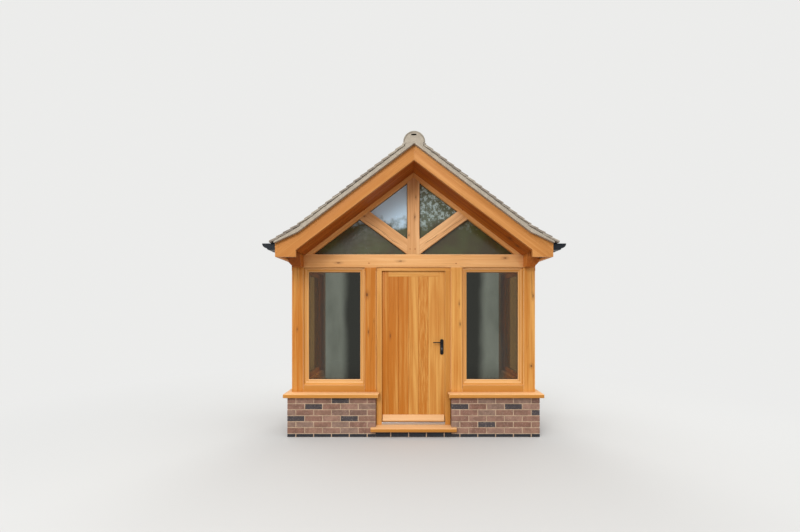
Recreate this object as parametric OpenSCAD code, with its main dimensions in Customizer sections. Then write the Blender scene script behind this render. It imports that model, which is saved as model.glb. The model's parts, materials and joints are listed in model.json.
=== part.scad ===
// Oak-framed entrance porch with a glazed gable and a tiled roof, cut off at the house wall.
// X = 0 is the centre line, -Y is the garden side, +Y is the house wall and Z = 0 is the ground.

/* [Oak frame] */
// Half width of the frame, to the outer faces of the corner posts
frame_half = 1540; // [1440:10:1700]
// Depth from the front face of the frame to the house wall
frame_depth = 1340; // [1100:10:1700]
// Width and depth of the main oak members
oak = 150; // [125:5:175]
// Depth of the tie beam and wall plates
plate_h = 166; // [140:2:200]
// How far the wall plates run out in front of the tie beam
plate_out = 105; // [70:5:130]
// Distance that the top of their ends stands in front of the bottom
plate_rake = 75; // [0:5:100]
// Width of the chamfer on the lower outer corner of each plate end
plate_chamfer = 42; // [20:2:60]
// Height of that chamfer
plate_chamfer_h = 50; // [20:2:70]
// Depth of the principal rafters, square to the slope
rafter_d = 154; // [130:2:175]
// Width of the king post
king_w = 154; // [120:2:180]
// Depth of the struts, square to their length
strut_d = 154; // [120:2:170]
// Slope of the struts
strut_angle = 36.3; // [32:0.1:40]
// Chamfer on the front arrises of the oak
arris = 9; // [5:1:11]
// Distance from each joint at which a chamfer stops
arris_stop = 45; // [20:5:60]

/* [Roof] */
// Pitch of the roof above the kick
pitch = 37.2; // [34:0.1:42]
// Pitch of the kicked eaves
kick_pitch = 24.5; // [20:0.5:30]
// Distance of the kick inside the outer face of the posts
kick_in = 214; // [160:2:260]
// Height of the roof boarding over the wall plates, at the outer face of the posts
heel_h = 60; // [40:2:90]
// Thickness of the roof boarding
board_t = 22; // [16:1:30]
// Height from the overhang soffit to the roof boarding, measured plumb
soffit_drop = 132; // [100:2:150]
// Thickness of the overhang soffit boards
soffit_t = 15; // [10:1:22]
// Thickness of the ridge board
ridge_board_t = 38; // [25:1:50]
// Distance from the frame to the face of the bargeboards
barge_out = 460; // [300:10:600]
// Thickness of the bargeboards
barge_t = 45; // [30:1:60]
// Plumb depth of the bargeboards
barge_v = 172; // [150:2:220]
// Width of the square foot of each bargeboard
foot_w = 239; // [210:1:270]
// Distance from the posts to the face of the fascias
eaves_out = 56; // [45:1:90]
// Thickness of the fascias, the eaves soffits and the box cheeks
fascia_t = 20; // [16:1:28]
// Height of the boxed eaves above the underside of the wall plates
box_up = 72; // [50:1:100]

/* [Tiles and gutters] */
// Distance that the tiles stand out past the bargeboards
verge_lap = 50; // [30:2:70]
// Plumb height of the tiles and their bedding above the roof boarding
tile_v = 97; // [70:1:120]
// Thickness of one tile
tile_t = 12; // [10:1:16]
// Gauge of the tile courses, along the slope
gauge = 100; // [85:1:115]
// Distance that the eaves tiles reach past the fascias
tile_over = 56; // [30:2:80]
// Outer radius of the ridge tiles
ridge_r = 124; // [105:1:140]
// Thickness of the ridge tiles
ridge_t = 14; // [10:1:18]
// Number of ridge tiles
ridge_count = 4; // [3:1:6]
// Joint between ridge tiles
ridge_joint = 8; // [4:1:12]
// Depth of the mortar plug in the end of the ridge
plug_d = 60; // [30:5:90]
// Width of the gutters
gutter_w = 147; // [110:1:160]
// Height of the gutters
gutter_h = 74; // [66:1:90]
// Wall of the gutters
gutter_t = 3; // [2:0.5:4]
// Radius of the bowl of the gutters
bowl_r = 54; // [46:1:62]
// Width of the step between the bowl and the flat part of the gutters
gutter_step = 15; // [12:1:18]
// Rise of the lower half of that step
step_rise = 8; // [5:1:10]
// Gap between the gutters and the tiles over them
gutter_gap = 2; // [1:0.5:4]

/* [Brick plinth and floor] */
// Height of the brick plinth
brick_h = 500; // [425:25:575]
// Thickness of the brick walls
brick_t = 215; // [190:5:230]
// Distance that the front brickwork stands in front of the oak
brick_front = 40; // [20:1:50]
// Distance that the side brickwork stands outside the oak
brick_side = 44; // [30:1:60]
// Mortar joint between the door frame and each brick pier
pier_gap = 5; // [5:1:15]
// Height of the floor inside
floor_z = 140; // [120:2:160]

/* [Sills and windows] */
// Height of the window sills at the frame
sill_h = 58; // [52:1:75]
// Distance of the sill nose from the oak
sill_out = 85; // [75:1:100]
// Thickness of the sill nose
sill_nose = 48; // [30:1:54]
// Rounding of the sill nose
sill_round = 10; // [6:1:12]
// Width and depth of the drip groove under the sill nose
sill_groove = 7; // [4:1:8]
// Radius of the curved end of the sill nose beside the door
horn_r = 26; // [16:1:34]
// Distance that each sill laps over the face of the door frame
sill_lap = 38; // [20:1:50]
// Height of the bottom rails
rail_h = 87; // [70:1:110]
// Visible width of the window frames at the sides and the top
light_w = 58; // [45:1:70]
// Visible height of the bottom of the window frames
light_bottom = 66; // [50:1:80]
// Set back of the window frames from the face of the oak
light_back = 24; // [10:1:30]
// Chamfers of the window frames and of their glazing beads
light_chamfer = 13; // [8:1:13]
// Width of the glazing beads
bead_w = 26; // [18:1:30]
// Set back of the glazing beads from the face of the window frames
bead_back = 14; // [14:1:18]
// Straight edge of the glazing beads, beside the glass
bead_edge = 2; // [1:1:5]
// Depth of the window frames behind the glass
rear_bead = 18; // [12:1:24]
// Thickness of the glass units
glass_t = 24; // [18:1:28]
// Depth of the glass in its groove
glass_bite = 12; // [6:1:15]
// Set back of the gable glass from the face of the oak
gable_back = 55; // [30:1:90]

/* [Door] */
// Width of the door leaf
leaf_w = 838; // [800:1:850]
// Height of the door leaf
leaf_h = 1960; // [1900:5:1965]
// Thickness of the door leaf
leaf_t = 54; // [44:1:60]
// Clearance around the leaf
leaf_gap = 5; // [5:0.5:7]
// Clearance beside the lock, where the swinging edge needs more
lock_gap = 8; // [8:0.5:10]
// Gap between the floor and the leaf
floor_gap = 8; // [6:1:12]
// Lap of the frame over the edges of the leaf
stop_lap = 16; // [13:1:19]
// Visible width of the door frame at its sides
jamb_w = 67; // [60:1:80]
// Visible height of the head of the door frame
head_w = 42; // [35:1:60]
// Depth of the frame in front of the leaf
stop_d = 24; // [22:1:40]
// Set back of the door frame from the oak
door_back = 20; // [5:1:25]
// Width of the stiles of the leaf
stile_w = 102; // [92:1:115]
// Height of the top rail of the leaf
top_rail_h = 86; // [70:1:110]
// Height of the ledges behind the boards
ledge_h = 180; // [140:5:220]
// Number of boards
board_count = 5; // [4:1:6]
// Thickness of the boards
door_board_t = 22; // [18:1:26]
// Set back of the boards behind the stiles
board_back = 3; // [1:0.5:5]
// Width of the V joints between the boards
board_joint = 4; // [2:0.5:6]
// Gap between the weather bar and the weatherboard over it
drip_clear = 10; // [6:1:14]
// Height of the weatherboard
drip_h = 79; // [60:1:95]
// Height of the front edge of the weatherboard
drip_edge = 20; // [12:1:30]
// Thickness of the weatherboard at its top
drip_top = 8; // [5:1:12]
// Projection of the weatherboard
drip_out = 38; // [25:1:42]
// Clearance at each end of the weatherboard
drip_gap = 12; // [12:1:20]
// Half width of the door sill across its horns
door_sill_half = 536; // [510:1:560]
// Distance of the door sill nose from the brickwork
door_sill_out = 50; // [30:1:70]
// Height of the floor above the door sill
door_sill_drop = 3; // [1:1:8]
// Thickness of the door sill
door_sill_t = 60; // [50:1:68]
// Fall of the door sill from the frame to the nose
door_sill_fall = 18; // [8:1:24]
// Rounding of the door sill nose
door_sill_round = 6; // [3:1:8]
// Height of the metal weather bar
bar_h = 35; // [25:1:38]
// Width of the metal weather bar
bar_w = 18; // [12:1:22]
// Chamfer of the metal weather bar
bar_chamfer = 8; // [4:1:10]

/* [Door furniture] */
// Distance of the handle from the lock edge of the leaf
handle_edge = 57; // [50:1:62]
// Height of the lever
lever_z = 1183; // [1100:1:1250]
// Distance of the key cylinder below the lever
key_drop = 86; // [72:1:92]
// Height of the key cylinder
key_h = 33; // [30:1:35]
// Radius of the round part of the key cylinder
key_r = 8.5; // [8:0.5:9]
// Width of the tail of the key cylinder
key_w = 10; // [9:0.5:11]
// Distance that the key cylinder stands out of its plate
key_proud = 4; // [2:0.5:6]
// Width of the handle plates
plate_w = 43; // [32:1:50]
// Length of the handle plates
plate_len = 199; // [180:1:220]
// Thickness of the handle plates
plate_t = 8; // [5:0.5:10]
// Distance of the lever below the top of its plate
lever_drop = 41; // [30:1:55]
// Radius of the neck of the lever
neck_r = 8; // [7:0.5:11]
// Clearance around the neck of the lever
neck_clear = 0.3; // [0.2:0.1:0.5]
// Clearance around the neck of the lever in the stile
stile_clear = 2; // [1:0.5:4]
// Distance of the lever bar from the plate
neck_len = 32; // [25:1:40]
// Length of the lever from its spindle
lever_len = 115; // [85:1:135]
// Height of the lever bar
lever_h = 13; // [10:1:18]
// Thickness of the lever bar
lever_t = 11; // [8:1:14]
// Half width of the square spindle
spindle_half = 4; // [3:0.5:5]
// Distance of the top and bottom hinges from the ends of the leaf
hinge_inset = 200; // [140:10:250]
// Length of the hinges
hinge_len = 100; // [80:5:120]
// Gap between the hinge knuckles
knuckle_gap = 0.5; // [0.3:0.1:0.8]
// Radius of the hinge knuckles
knuckle_r = 6.5; // [5:0.5:7.5]
// Distance of the hinge axis from the face of the leaf
knuckle_out = 8.5; // [8:0.5:10]
// Thickness of the hinge flaps
flap_t = 2; // [1.5:0.1:2.2]
// Width of the hinge flaps
flap_w = 40; // [30:1:48]

/* [Hidden] */
tp = tan(pitch);
tk = tan(kick_pitch);
ts = tan(strut_angle);
tiny = 1;
// Clearance between sloping faces, which keeps their rounded corners from biting
seam = 0.05;

// Places along Y
total_depth = frame_depth + barge_out + verge_lap;
wall_y = total_depth / 2;
frame_y = wall_y - frame_depth;
inner_y = frame_y + oak;
brick_y = frame_y - brick_front;
pier_back_y = brick_y + brick_t;
barge_y = frame_y - barge_out;
barge_back_y = barge_y + barge_t;
verge_y = barge_y - verge_lap;
plate_end_y = frame_y - plate_out;
plate_top_y = plate_end_y - plate_rake;
door_y = frame_y + door_back;
stop_y = door_y + stop_d;
leaf_y = stop_y + leaf_gap;
leaf_back_y = leaf_y + leaf_t;
hinge_y = leaf_back_y + knuckle_out;

// Places along X, on the right-hand side
post_in = frame_half - oak;
leaf_half = leaf_w / 2;
stop_half = leaf_half - stop_lap;
door_half = stop_half + jamb_w;
door_post_out = door_half + oak;
brick_out = frame_half + brick_side;
pier_in = door_half + pier_gap;
fascia_x = frame_half + eaves_out;
fascia_in = fascia_x - fascia_t;
foot_x = fascia_x - foot_w;
kick_x = frame_half - kick_in;
tile_x = fascia_x + tile_over;
king_half = king_w / 2;
ridge_half = ridge_board_t / 2;
hinge_x = -leaf_half - leaf_gap / 2;

// Heights
sill_z = brick_h + sill_h;
rail_z = sill_z + rail_h;
door_sill_z = floor_z - door_sill_drop;
step_h = door_sill_z - door_sill_t;
leaf_z = floor_z + floor_gap;
leaf_top = leaf_z + leaf_h;
door_head = leaf_top - stop_lap;
plate_z = door_head + head_w;
plate_top = plate_z + plate_h;
box_z = plate_z + box_up;
kick_z = plate_top + heel_h + kick_in * tk;
under_apex = kick_z + kick_x * tp;
board_v = board_t / cos(pitch);
soffit_v = soffit_t / cos(pitch);
rafter_v = rafter_d / cos(pitch);
strut_v = strut_d / cos(strut_angle);
rafter_low = under_apex - rafter_v;
soffit_low = under_apex - soffit_drop;
ridge_low = soffit_low + soffit_v;
heel_x = (rafter_low - plate_top) / tp;
lining_x = (soffit_low - plate_top) / tp;
strut_low_x = (rafter_low - plate_top + king_half * ts) / (tp + ts);
strut_top_x = (rafter_low - plate_top - strut_v + king_half * ts) / (tp + ts);

// Underside of the roof boarding, at a distance x from the centre line
function under(x) = x < kick_x ? under_apex - x * tp : kick_z - (x - kick_x) * tk;
// Top of the roof boarding
function top(x) = under(x) + board_v;
// A straight line at the roof pitch, from its height at the centre line
function slope(z0, x) = z0 - x * tp;

// Tiles: the crest line follows the roof, then runs down to the edge over the gutter
eaves_z = top(fascia_x);
crest_kick = top(kick_x) + tile_v;
crest_edge = eaves_z + 2 * tile_t;
function crest(x) = x < kick_x ? top(x) + tile_v
    : crest_kick + (crest_edge - crest_kick) * (x - kick_x) / (tile_x - kick_x);
course = gauge * cos(pitch);
course_count = floor(tile_x / course);
function course_x(i) = tile_x - i * course;
ridge_in = ridge_r - ridge_t;
ridge_z = crest(ridge_in);

// Window frames, from their front face
glass_y = bead_back + light_chamfer + bead_edge;
light_d = glass_y + glass_t + rear_bead;
light_h = plate_z - rail_z;
front_light_w = post_in - door_post_out;
side_light_w = wall_y - oak - inner_y;

// Gutters
gutter_z = eaves_z - gutter_gap - gutter_h;
flat_w = gutter_w - bowl_r - gutter_step;

// Door
door_sill_y = brick_y - door_sill_out;
drip_z = door_sill_z + bar_h + drip_clear;
handle_x = leaf_half - handle_edge;
plate_mid = lever_z + lever_drop - plate_len / 2;
ledge_z = plate_mid;
stile_hole_r = neck_r + stile_clear;
latch_half = leaf_half + lock_gap;
ledge_y = leaf_y + board_back + door_board_t;
boards_half = leaf_half - stile_w;
board_pitch = 2 * boards_half / board_count;
board_top = leaf_top - top_rail_h;
hinge_zs = [leaf_z + hinge_inset, leaf_z + leaf_h / 2, leaf_top - hinge_inset];
knuckle_half = hinge_len / 6;

OAK = [0.85, 0.58, 0.32];
OAK_DARK = [0.75, 0.46, 0.2];
BRICK = [0.55, 0.38, 0.33];
ENGINEERING = [0.22, 0.23, 0.27];
MORTAR = [0.76, 0.72, 0.64];
TILE = [0.5, 0.47, 0.41];
BLACK = [0.1, 0.11, 0.13];
GLASS = [0.35, 0.4, 0.4, 0.5];

// Block between two corners
module block(low, high) {
    translate(low)
        cube(high - low);
}

// Profile given in X and Z, run along Y from y0 to y1
module run_y(points, y0, y1) {
    translate([0, y1, 0])
        rotate([90, 0, 0])
            linear_extrude(height = y1 - y0)
                polygon(points);
}

// Profile given in Y and Z, run along X from x0 to x1
module run_x(points, x0, x1) {
    translate([x0, 0, 0])
        rotate([90, 0, 90])
            linear_extrude(height = x1 - x0)
                polygon(points);
}

// Cutter for a stopped chamfer on the front arris that runs from p to q, given in X and Z
module arris_cut(p, q) {
    run = norm(q - p);
    cut = arris * sqrt(2);
    translate([p[0], frame_y, p[1]])
        rotate([0, -atan2(q[1] - p[1], q[0] - p[0]), 0])
            translate([arris_stop, 0, 0])
                rotate([45, 0, 0])
                    translate([0, -cut / 2, -cut / 2])
                        cube([run - 2 * arris_stop, cut, cut]);
}

// The right-hand piece, or its mirror image on the left
module side(left) {
    if (left)
        mirror([1, 0, 0])
            children();
    else
        children();
}

// Brick plinth: a front pier and the side wall as one L of masonry
module plinth(left) {
    color(BRICK)
        side(left)
            union() {
                block([pier_in, brick_y, 0], [brick_out, pier_back_y, brick_h]);
                block([brick_out - brick_t, pier_back_y - tiny, 0], [brick_out, wall_y, brick_h]);
            }
}

// Brick course that carries the door sill
module step_course() {
    color(ENGINEERING)
        block([-pier_in, brick_y, 0], [pier_in, pier_back_y, step_h]);
}

// Solid floor between the walls
module floor_slab() {
    color("silver")
        block([brick_t - brick_out, pier_back_y, 0], [brick_out - brick_t, wall_y, floor_z]);
}

// Section of a window sill: u is the distance in front of the oak
function sill_section() = concat([
    [-oak, brick_h],
    [sill_out - 3 * sill_groove, brick_h],
    [sill_out - 3 * sill_groove, brick_h + sill_groove],
    [sill_out - 2 * sill_groove, brick_h + sill_groove],
    [sill_out - 2 * sill_groove, brick_h],
    [sill_out, brick_h]],
    [for (a = [0 : 15 : 90]) [
        sill_out - sill_round * (1 - cos(a)),
        brick_h + sill_nose - sill_round * (1 - sin(a))]],
    [[0, sill_z], [-oak, sill_z]]);

// Window sill: front and side runs that meet in a mitre, with a horn that laps the door frame
module window_sill(left) {
    front = [for (p = sill_section()) [frame_y - p[0], p[1]]];
    flank = [for (p = sill_section()) [frame_half + p[0], p[1]]];
    horn_x = door_half - sill_lap;
    nose_y = frame_y - sill_out;
    color(OAK)
        side(left)
            union() {
                intersection() {
                    run_x(front, door_half, frame_half + sill_out);
                    linear_extrude(height = sill_z)
                        polygon([
                            [door_half, nose_y],
                            [frame_half + sill_out, nose_y],
                            [post_in, inner_y],
                            [door_half, inner_y]]);
                }
                intersection() {
                    run_y(flank, nose_y, wall_y);
                    linear_extrude(height = sill_z)
                        polygon([
                            [frame_half + sill_out, nose_y],
                            [frame_half + sill_out, wall_y],
                            [post_in, wall_y],
                            [post_in, inner_y]]);
                }
                intersection() {
                    run_x(front, horn_x, door_half + tiny);
                    linear_extrude(height = sill_z)
                        polygon(concat(
                            [for (a = [0 : 15 : 90]) [
                                horn_x + horn_r * (1 - cos(a)),
                                nose_y + horn_r * (1 - sin(a))]],
                            [[door_half + tiny, nose_y], [door_half + tiny, frame_y], [horn_x, frame_y]]));
                }
            }
}

// Square oak post standing on the sill
module post(x0, y0) {
    color(OAK)
        block([x0, y0, sill_z], [x0 + oak, y0 + oak, plate_z]);
}

// Post of the front frame, with a stopped chamfer on both front arrises
module front_post(left, x0) {
    side(left)
        difference() {
            post(x0, frame_y);
            for (x = [x0, x0 + oak])
                arris_cut([x, sill_z], [x, plate_z]);
        }
}

module wall_posts() {
    for (left = [true, false])
        side(left)
            post(post_in, wall_y - oak);
}

// Bottom rails between the posts, two in front and one on each side
module bottom_rails() {
    color(OAK)
        for (left = [true, false])
            side(left) {
                block([door_post_out, frame_y, sill_z], [post_in, inner_y, rail_z]);
                block([post_in, inner_y, sill_z], [frame_half, wall_y - oak, rail_z]);
            }
}

// Hole of half width w and half height h from y0 to y1, with a chamfer around its front edge
module chamfered_hole(w, h, y0, y1) {
    c = light_chamfer;
    wide = w + c + tiny;
    high = h + c + tiny;
    intersection() {
        translate([0, 0, -high])
            linear_extrude(height = 2 * high)
                polygon([
                    [-wide, y0 - tiny],
                    [wide, y0 - tiny],
                    [w, y0 + c],
                    [w, y1],
                    [-w, y1],
                    [-w, y0 + c]]);
        run_x([
            [y0 - tiny, -high],
            [y0 - tiny, high],
            [y0 + c, h],
            [y1, h],
            [y1, -h],
            [y0 + c, -h]], -wide, wide);
    }
}

// Window frame, w wide, with its front face at Y = 0 and its left edge at X = 0
module light_frame(w) {
    half_w = w / 2 - light_w;
    half_h = (light_h - light_w - light_bottom) / 2;
    color(OAK)
        difference() {
            block([0, 0, rail_z], [w, light_d, plate_z]);
            translate([w / 2, 0, rail_z + light_bottom + half_h]) {
                chamfered_hole(half_w + bead_w, half_h + bead_w, 0, bead_back);
                chamfered_hole(half_w, half_h, bead_back, light_d + tiny);
            }
            light_pane(w);
        }
}

// Glass unit that fits the groove of a window frame
module light_pane(w) {
    color(GLASS)
        block([light_w - glass_bite, glass_y, rail_z + light_bottom - glass_bite],
            [w - light_w + glass_bite, glass_y + glass_t, plate_z - light_w + glass_bite]);
}

// Place a front light, in the right-hand opening
module front_place() {
    translate([door_post_out, frame_y + light_back, 0])
        children();
}

// Place a side light, in the right-hand wall
module side_place() {
    translate([frame_half - light_back, inner_y, 0])
        rotate([0, 0, 90])
            children();
}

module window_frame_front(left) {
    side(left)
        front_place()
            light_frame(front_light_w);
}

module window_frame_side(left) {
    side(left)
        side_place()
            light_frame(side_light_w);
}

module window_glass() {
    for (left = [true, false])
        side(left) {
            front_place()
                light_pane(front_light_w);
            side_place()
                light_pane(side_light_w);
        }
}

// Tie beam between the wall plates
module tie_beam() {
    color(OAK)
        difference() {
            block([-post_in, frame_y, plate_z], [post_in, inner_y, plate_top]);
            arris_cut([-door_half, plate_z], [door_half, plate_z]);
            for (left = [true, false])
                side(left) {
                    arris_cut([door_post_out, plate_z], [post_in, plate_z]);
                    arris_cut([king_half, plate_top], [heel_x, plate_top]);
                }
        }
}

// Wall plate, with a chamfered end in front of the corner post
module wall_plate(left) {
    color(OAK)
        side(left)
            difference() {
                run_x([
                    [plate_end_y, plate_z],
                    [wall_y, plate_z],
                    [wall_y, plate_top],
                    [plate_top_y, plate_top]], post_in, frame_half);
                run_y([
                    [frame_half - plate_chamfer, plate_z - tiny],
                    [frame_half - plate_chamfer, plate_z],
                    [frame_half, plate_z + plate_chamfer_h],
                    [frame_half + tiny, plate_z + plate_chamfer_h],
                    [frame_half + tiny, plate_z - tiny]], plate_top_y - tiny, frame_y);
            }
}

// Principal rafter of the front truss, with its foot on the tie beam and plate
module rafter(left) {
    color(OAK)
        side(left)
            difference() {
                run_y([
                    [0, rafter_low],
                    [heel_x, plate_top],
                    [frame_half, plate_top],
                    [frame_half, under(frame_half) - seam],
                    [kick_x, kick_z - seam],
                    [ridge_half, under(ridge_half) - seam],
                    [ridge_half, ridge_low],
                    [0, ridge_low]], frame_y, inner_y);
                arris_cut([strut_low_x, slope(rafter_low, strut_low_x)], [heel_x, plate_top]);
                arris_cut([king_half, slope(rafter_low, king_half)],
                    [strut_top_x, slope(rafter_low, strut_top_x)]);
            }
}

// King post, with a head cut to both rafters
module king_post() {
    head_z = slope(rafter_low, king_half);
    color(OAK)
        difference() {
            run_y([
                [-king_half, plate_top],
                [king_half, plate_top],
                [king_half, head_z],
                [0, rafter_low],
                [-king_half, head_z]], frame_y, inner_y);
            for (x = [-king_half, king_half])
                arris_cut([x, plate_top + strut_v], [x, head_z]);
        }
}

// Struts from the foot of the king post to the rafters
module struts() {
    foot = [king_half, plate_top];
    foot_top = [king_half, plate_top + strut_v];
    head = [strut_low_x, slope(rafter_low, strut_low_x)];
    head_top = [strut_top_x, slope(rafter_low, strut_top_x)];
    color(OAK)
        for (left = [true, false])
            side(left)
                difference() {
                    run_y([foot, head, head_top, foot_top], frame_y, inner_y);
                    arris_cut(foot, head);
                    arris_cut(foot_top, head_top);
                }
}

// Glass in the four triangles of the truss
module gable_glass() {
    y0 = frame_y + gable_back;
    color(GLASS)
        for (left = [true, false])
            side(left) {
                run_y([
                    [king_half, plate_top],
                    [heel_x, plate_top],
                    [strut_low_x, slope(rafter_low, strut_low_x)]], y0, y0 + glass_t);
                run_y([
                    [king_half, plate_top + strut_v],
                    [strut_top_x, slope(rafter_low, strut_top_x)],
                    [king_half, slope(rafter_low, king_half)]], y0, y0 + glass_t);
            }
}

// Ridge board under the apex of the boarding
module ridge_board() {
    edge_z = under(ridge_half) - seam;
    color(OAK_DARK)
        run_y([
            [-ridge_half, ridge_low],
            [ridge_half, ridge_low],
            [ridge_half, edge_z],
            [0, under_apex - seam],
            [-ridge_half, edge_z]], barge_back_y, wall_y);
}

// Roof boarding over the whole slope, with the lined rafters behind the truss
module roof_deck(left) {
    color(OAK_DARK)
        side(left)
            union() {
                run_y([
                    [0, under_apex],
                    [kick_x, kick_z],
                    [fascia_x, under(fascia_x)],
                    [fascia_x, top(fascia_x)],
                    [kick_x, top(kick_x)],
                    [0, top(0)]], barge_back_y, wall_y);
                run_y([
                    [ridge_half, slope(soffit_low, ridge_half)],
                    [lining_x, plate_top],
                    [fascia_in, plate_top],
                    [fascia_in, under(fascia_in)],
                    [kick_x, kick_z + tiny],
                    [ridge_half, under(ridge_half) + tiny]], inner_y, wall_y);
            }
}

// Soffit boards under the gable overhang
module overhang_soffit() {
    edge_x = foot_x + fascia_t;
    color(OAK_DARK)
        run_y([
            [0, soffit_low],
            [edge_x, slope(soffit_low, edge_x)],
            [edge_x, slope(soffit_low, edge_x) + soffit_v],
            [0, soffit_low + soffit_v],
            [-edge_x, slope(soffit_low, edge_x) + soffit_v],
            [-edge_x, slope(soffit_low, edge_x)]], barge_back_y, frame_y);
}

// Bargeboard with a kicked tail and a square foot
module bargeboard(left) {
    barge_low = top(0) - barge_v;
    color(OAK)
        side(left)
            run_y([
                [0, barge_low],
                [foot_x, slope(barge_low, foot_x)],
                [foot_x, box_z],
                [fascia_x, box_z],
                [fascia_x, top(fascia_x)],
                [kick_x, top(kick_x)],
                [0, top(0)]], barge_y, barge_back_y);
}

// Boxed eaves: fascia, level soffit and the cheek of the box under the overhang
module eaves_box(left) {
    color(OAK)
        side(left)
            union() {
                run_y([
                    [fascia_in, box_z],
                    [fascia_x, box_z],
                    [fascia_x, under(fascia_x)],
                    [fascia_in, under(fascia_in)]], barge_back_y, wall_y);
                block([frame_half, barge_back_y, box_z], [fascia_in + tiny, wall_y, box_z + fascia_t]);
            }
}

// Courses of plain tiles on their bedding, as a stepped layer
module tile_layer() {
    last = course_x(course_count);
    steps = [for (i = [0 : course_count - 1])
        for (p = [[course_x(i), crest(course_x(i))],
            [course_x(i + 1), crest(course_x(i + 1)) - tile_t]]) p];
    run_y(concat(
        [[0, top(0)], [kick_x, top(kick_x)], [fascia_x, eaves_z], [tile_x, eaves_z]],
        steps,
        [[last, crest(last)], [0, crest(0) - tile_t * last / course]]), verge_y, wall_y);
}

// Tiles of one slope, cut away at the front for the mortar plug of the ridge
module roof_tiles(left) {
    color(TILE)
        side(left)
            difference() {
                tile_layer();
                translate([0, verge_y + plug_d, ridge_z])
                    rotate([90, 0, 0])
                        cylinder(h = plug_d + tiny, r = ridge_in, $fn = 64);
            }
}

// Half-round ridge tiles
module ridge_tiles() {
    pitch_y = (total_depth + ridge_joint) / ridge_count;
    color(TILE)
        for (i = [0 : ridge_count - 1])
            translate([0, verge_y + (i + 1) * pitch_y - ridge_joint, ridge_z])
                rotate([90, 0, 0])
                    difference() {
                        cylinder(h = pitch_y - ridge_joint, r = ridge_r, $fn = 64);
                        translate([0, 0, -tiny])
                            cylinder(h = pitch_y, r = ridge_in, $fn = 64);
                        translate([-ridge_r - tiny, -ridge_r - tiny, -tiny])
                            cube([2 * (ridge_r + tiny), ridge_r + tiny, pitch_y]);
                    }
}

// Mortar: the plug in the ridge end and the beds under both edges of the ridge tiles
module ridge_mortar() {
    color(MORTAR)
        union() {
            difference() {
                translate([0, verge_y + plug_d, ridge_z])
                    rotate([90, 0, 0])
                        cylinder(h = plug_d, r = ridge_in, $fn = 64);
                run_y([
                    [0, top(0)],
                    [2 * ridge_r, top(2 * ridge_r)],
                    [2 * ridge_r, ridge_z - 2 * ridge_r],
                    [-2 * ridge_r, ridge_z - 2 * ridge_r],
                    [-2 * ridge_r, top(2 * ridge_r)]], verge_y - tiny, verge_y + plug_d + tiny);
            }
            for (left = [true, false])
                side(left)
                    difference() {
                        block([ridge_in - 2, verge_y, ridge_z - 3 * tile_t], [ridge_r, wall_y, ridge_z]);
                        tile_layer();
                    }
        }
}

// Section of a gutter, u out from the fascia and v up from the flat bottom
function bowl(r) = [for (a = [-90 : 10 : 0]) [gutter_w - bowl_r + r * cos(a), gutter_h + r * sin(a)]];
function gutter_outside() = concat(
    [[0, gutter_h], [0, 0], [flat_w, 0], [flat_w + gutter_step * 3 / 4, step_rise]],
    bowl(bowl_r));
function gutter_inside() = concat(
    [[gutter_t, gutter_h + tiny], [gutter_t, gutter_t], [flat_w - gutter_t / 3, gutter_t],
        [flat_w + gutter_step * 3 / 4 - gutter_t, step_rise + gutter_t * 2 / 3]],
    bowl(bowl_r - gutter_t),
    [[gutter_w - gutter_t, gutter_h + tiny]]);

// Gutter with a stop end at both ends
module gutter(left) {
    color(BLACK)
        side(left)
            translate([fascia_x, 0, gutter_z])
                difference() {
                    run_y(gutter_outside(), barge_y, wall_y);
                    run_y(gutter_inside(), barge_y + gutter_t, wall_y - gutter_t);
                }
}

// Door sill with horns over the brickwork
module door_sill() {
    nose_z = door_sill_z - door_sill_fall - door_sill_round;
    section = concat(
        [[pier_back_y, step_h], [door_sill_y, step_h]],
        [for (a = [0 : 15 : 90]) [
            door_sill_y + door_sill_round * (1 - cos(a)),
            nose_z + door_sill_round * sin(a)]],
        [[door_y, door_sill_z], [pier_back_y, door_sill_z]]);
    color(OAK)
        intersection() {
            run_x(section, -door_sill_half, door_sill_half);
            linear_extrude(height = door_sill_z)
                polygon([
                    [-door_sill_half, door_sill_y],
                    [door_sill_half, door_sill_y],
                    [door_sill_half, brick_y],
                    [pier_in, brick_y],
                    [pier_in, pier_back_y],
                    [-pier_in, pier_back_y],
                    [-pier_in, brick_y],
                    [-door_sill_half, brick_y]]);
        }
}

// Door frame with a rebate on the inner side
module door_frame() {
    color(OAK)
        difference() {
            block([-door_half, door_y, door_sill_z], [door_half, leaf_back_y, plate_z]);
            block([-stop_half, door_y - tiny, door_sill_z - tiny],
                [stop_half, leaf_back_y + tiny, door_head]);
            block([-leaf_half - leaf_gap, stop_y, door_sill_z - tiny],
                [latch_half, leaf_back_y + tiny, leaf_top + leaf_gap]);
        }
}

// Metal weather bar on the door sill
module weather_bar() {
    bar_y = stop_y - bar_w;
    color("silver")
        run_x([
            [bar_y, door_sill_z],
            [stop_y, door_sill_z],
            [stop_y, door_sill_z + bar_h],
            [bar_y + bar_chamfer, door_sill_z + bar_h],
            [bar_y, door_sill_z + bar_h - bar_chamfer]], -stop_half, stop_half);
}

// Stiles, top rail and ledges of the door leaf
module door_leaf() {
    ledges = [leaf_z + ledge_h / 2, ledge_z];
    color(OAK_DARK)
        difference() {
            union() {
                for (x = [-leaf_half, leaf_half - stile_w])
                    block([x, leaf_y, leaf_z], [x + stile_w, leaf_back_y, leaf_top]);
                block([-boards_half - tiny, leaf_y, board_top], [boards_half + tiny, leaf_back_y, leaf_top]);
                for (z = ledges)
                    block([-boards_half - tiny, ledge_y, z - ledge_h / 2],
                        [boards_half + tiny, leaf_back_y, z + ledge_h / 2]);
            }
            translate([handle_x, leaf_back_y + tiny, lever_z])
                rotate([90, 0, 0])
                    cylinder(h = leaf_t + 2 * tiny, r = stile_hole_r, $fn = 48);
        }
}

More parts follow.
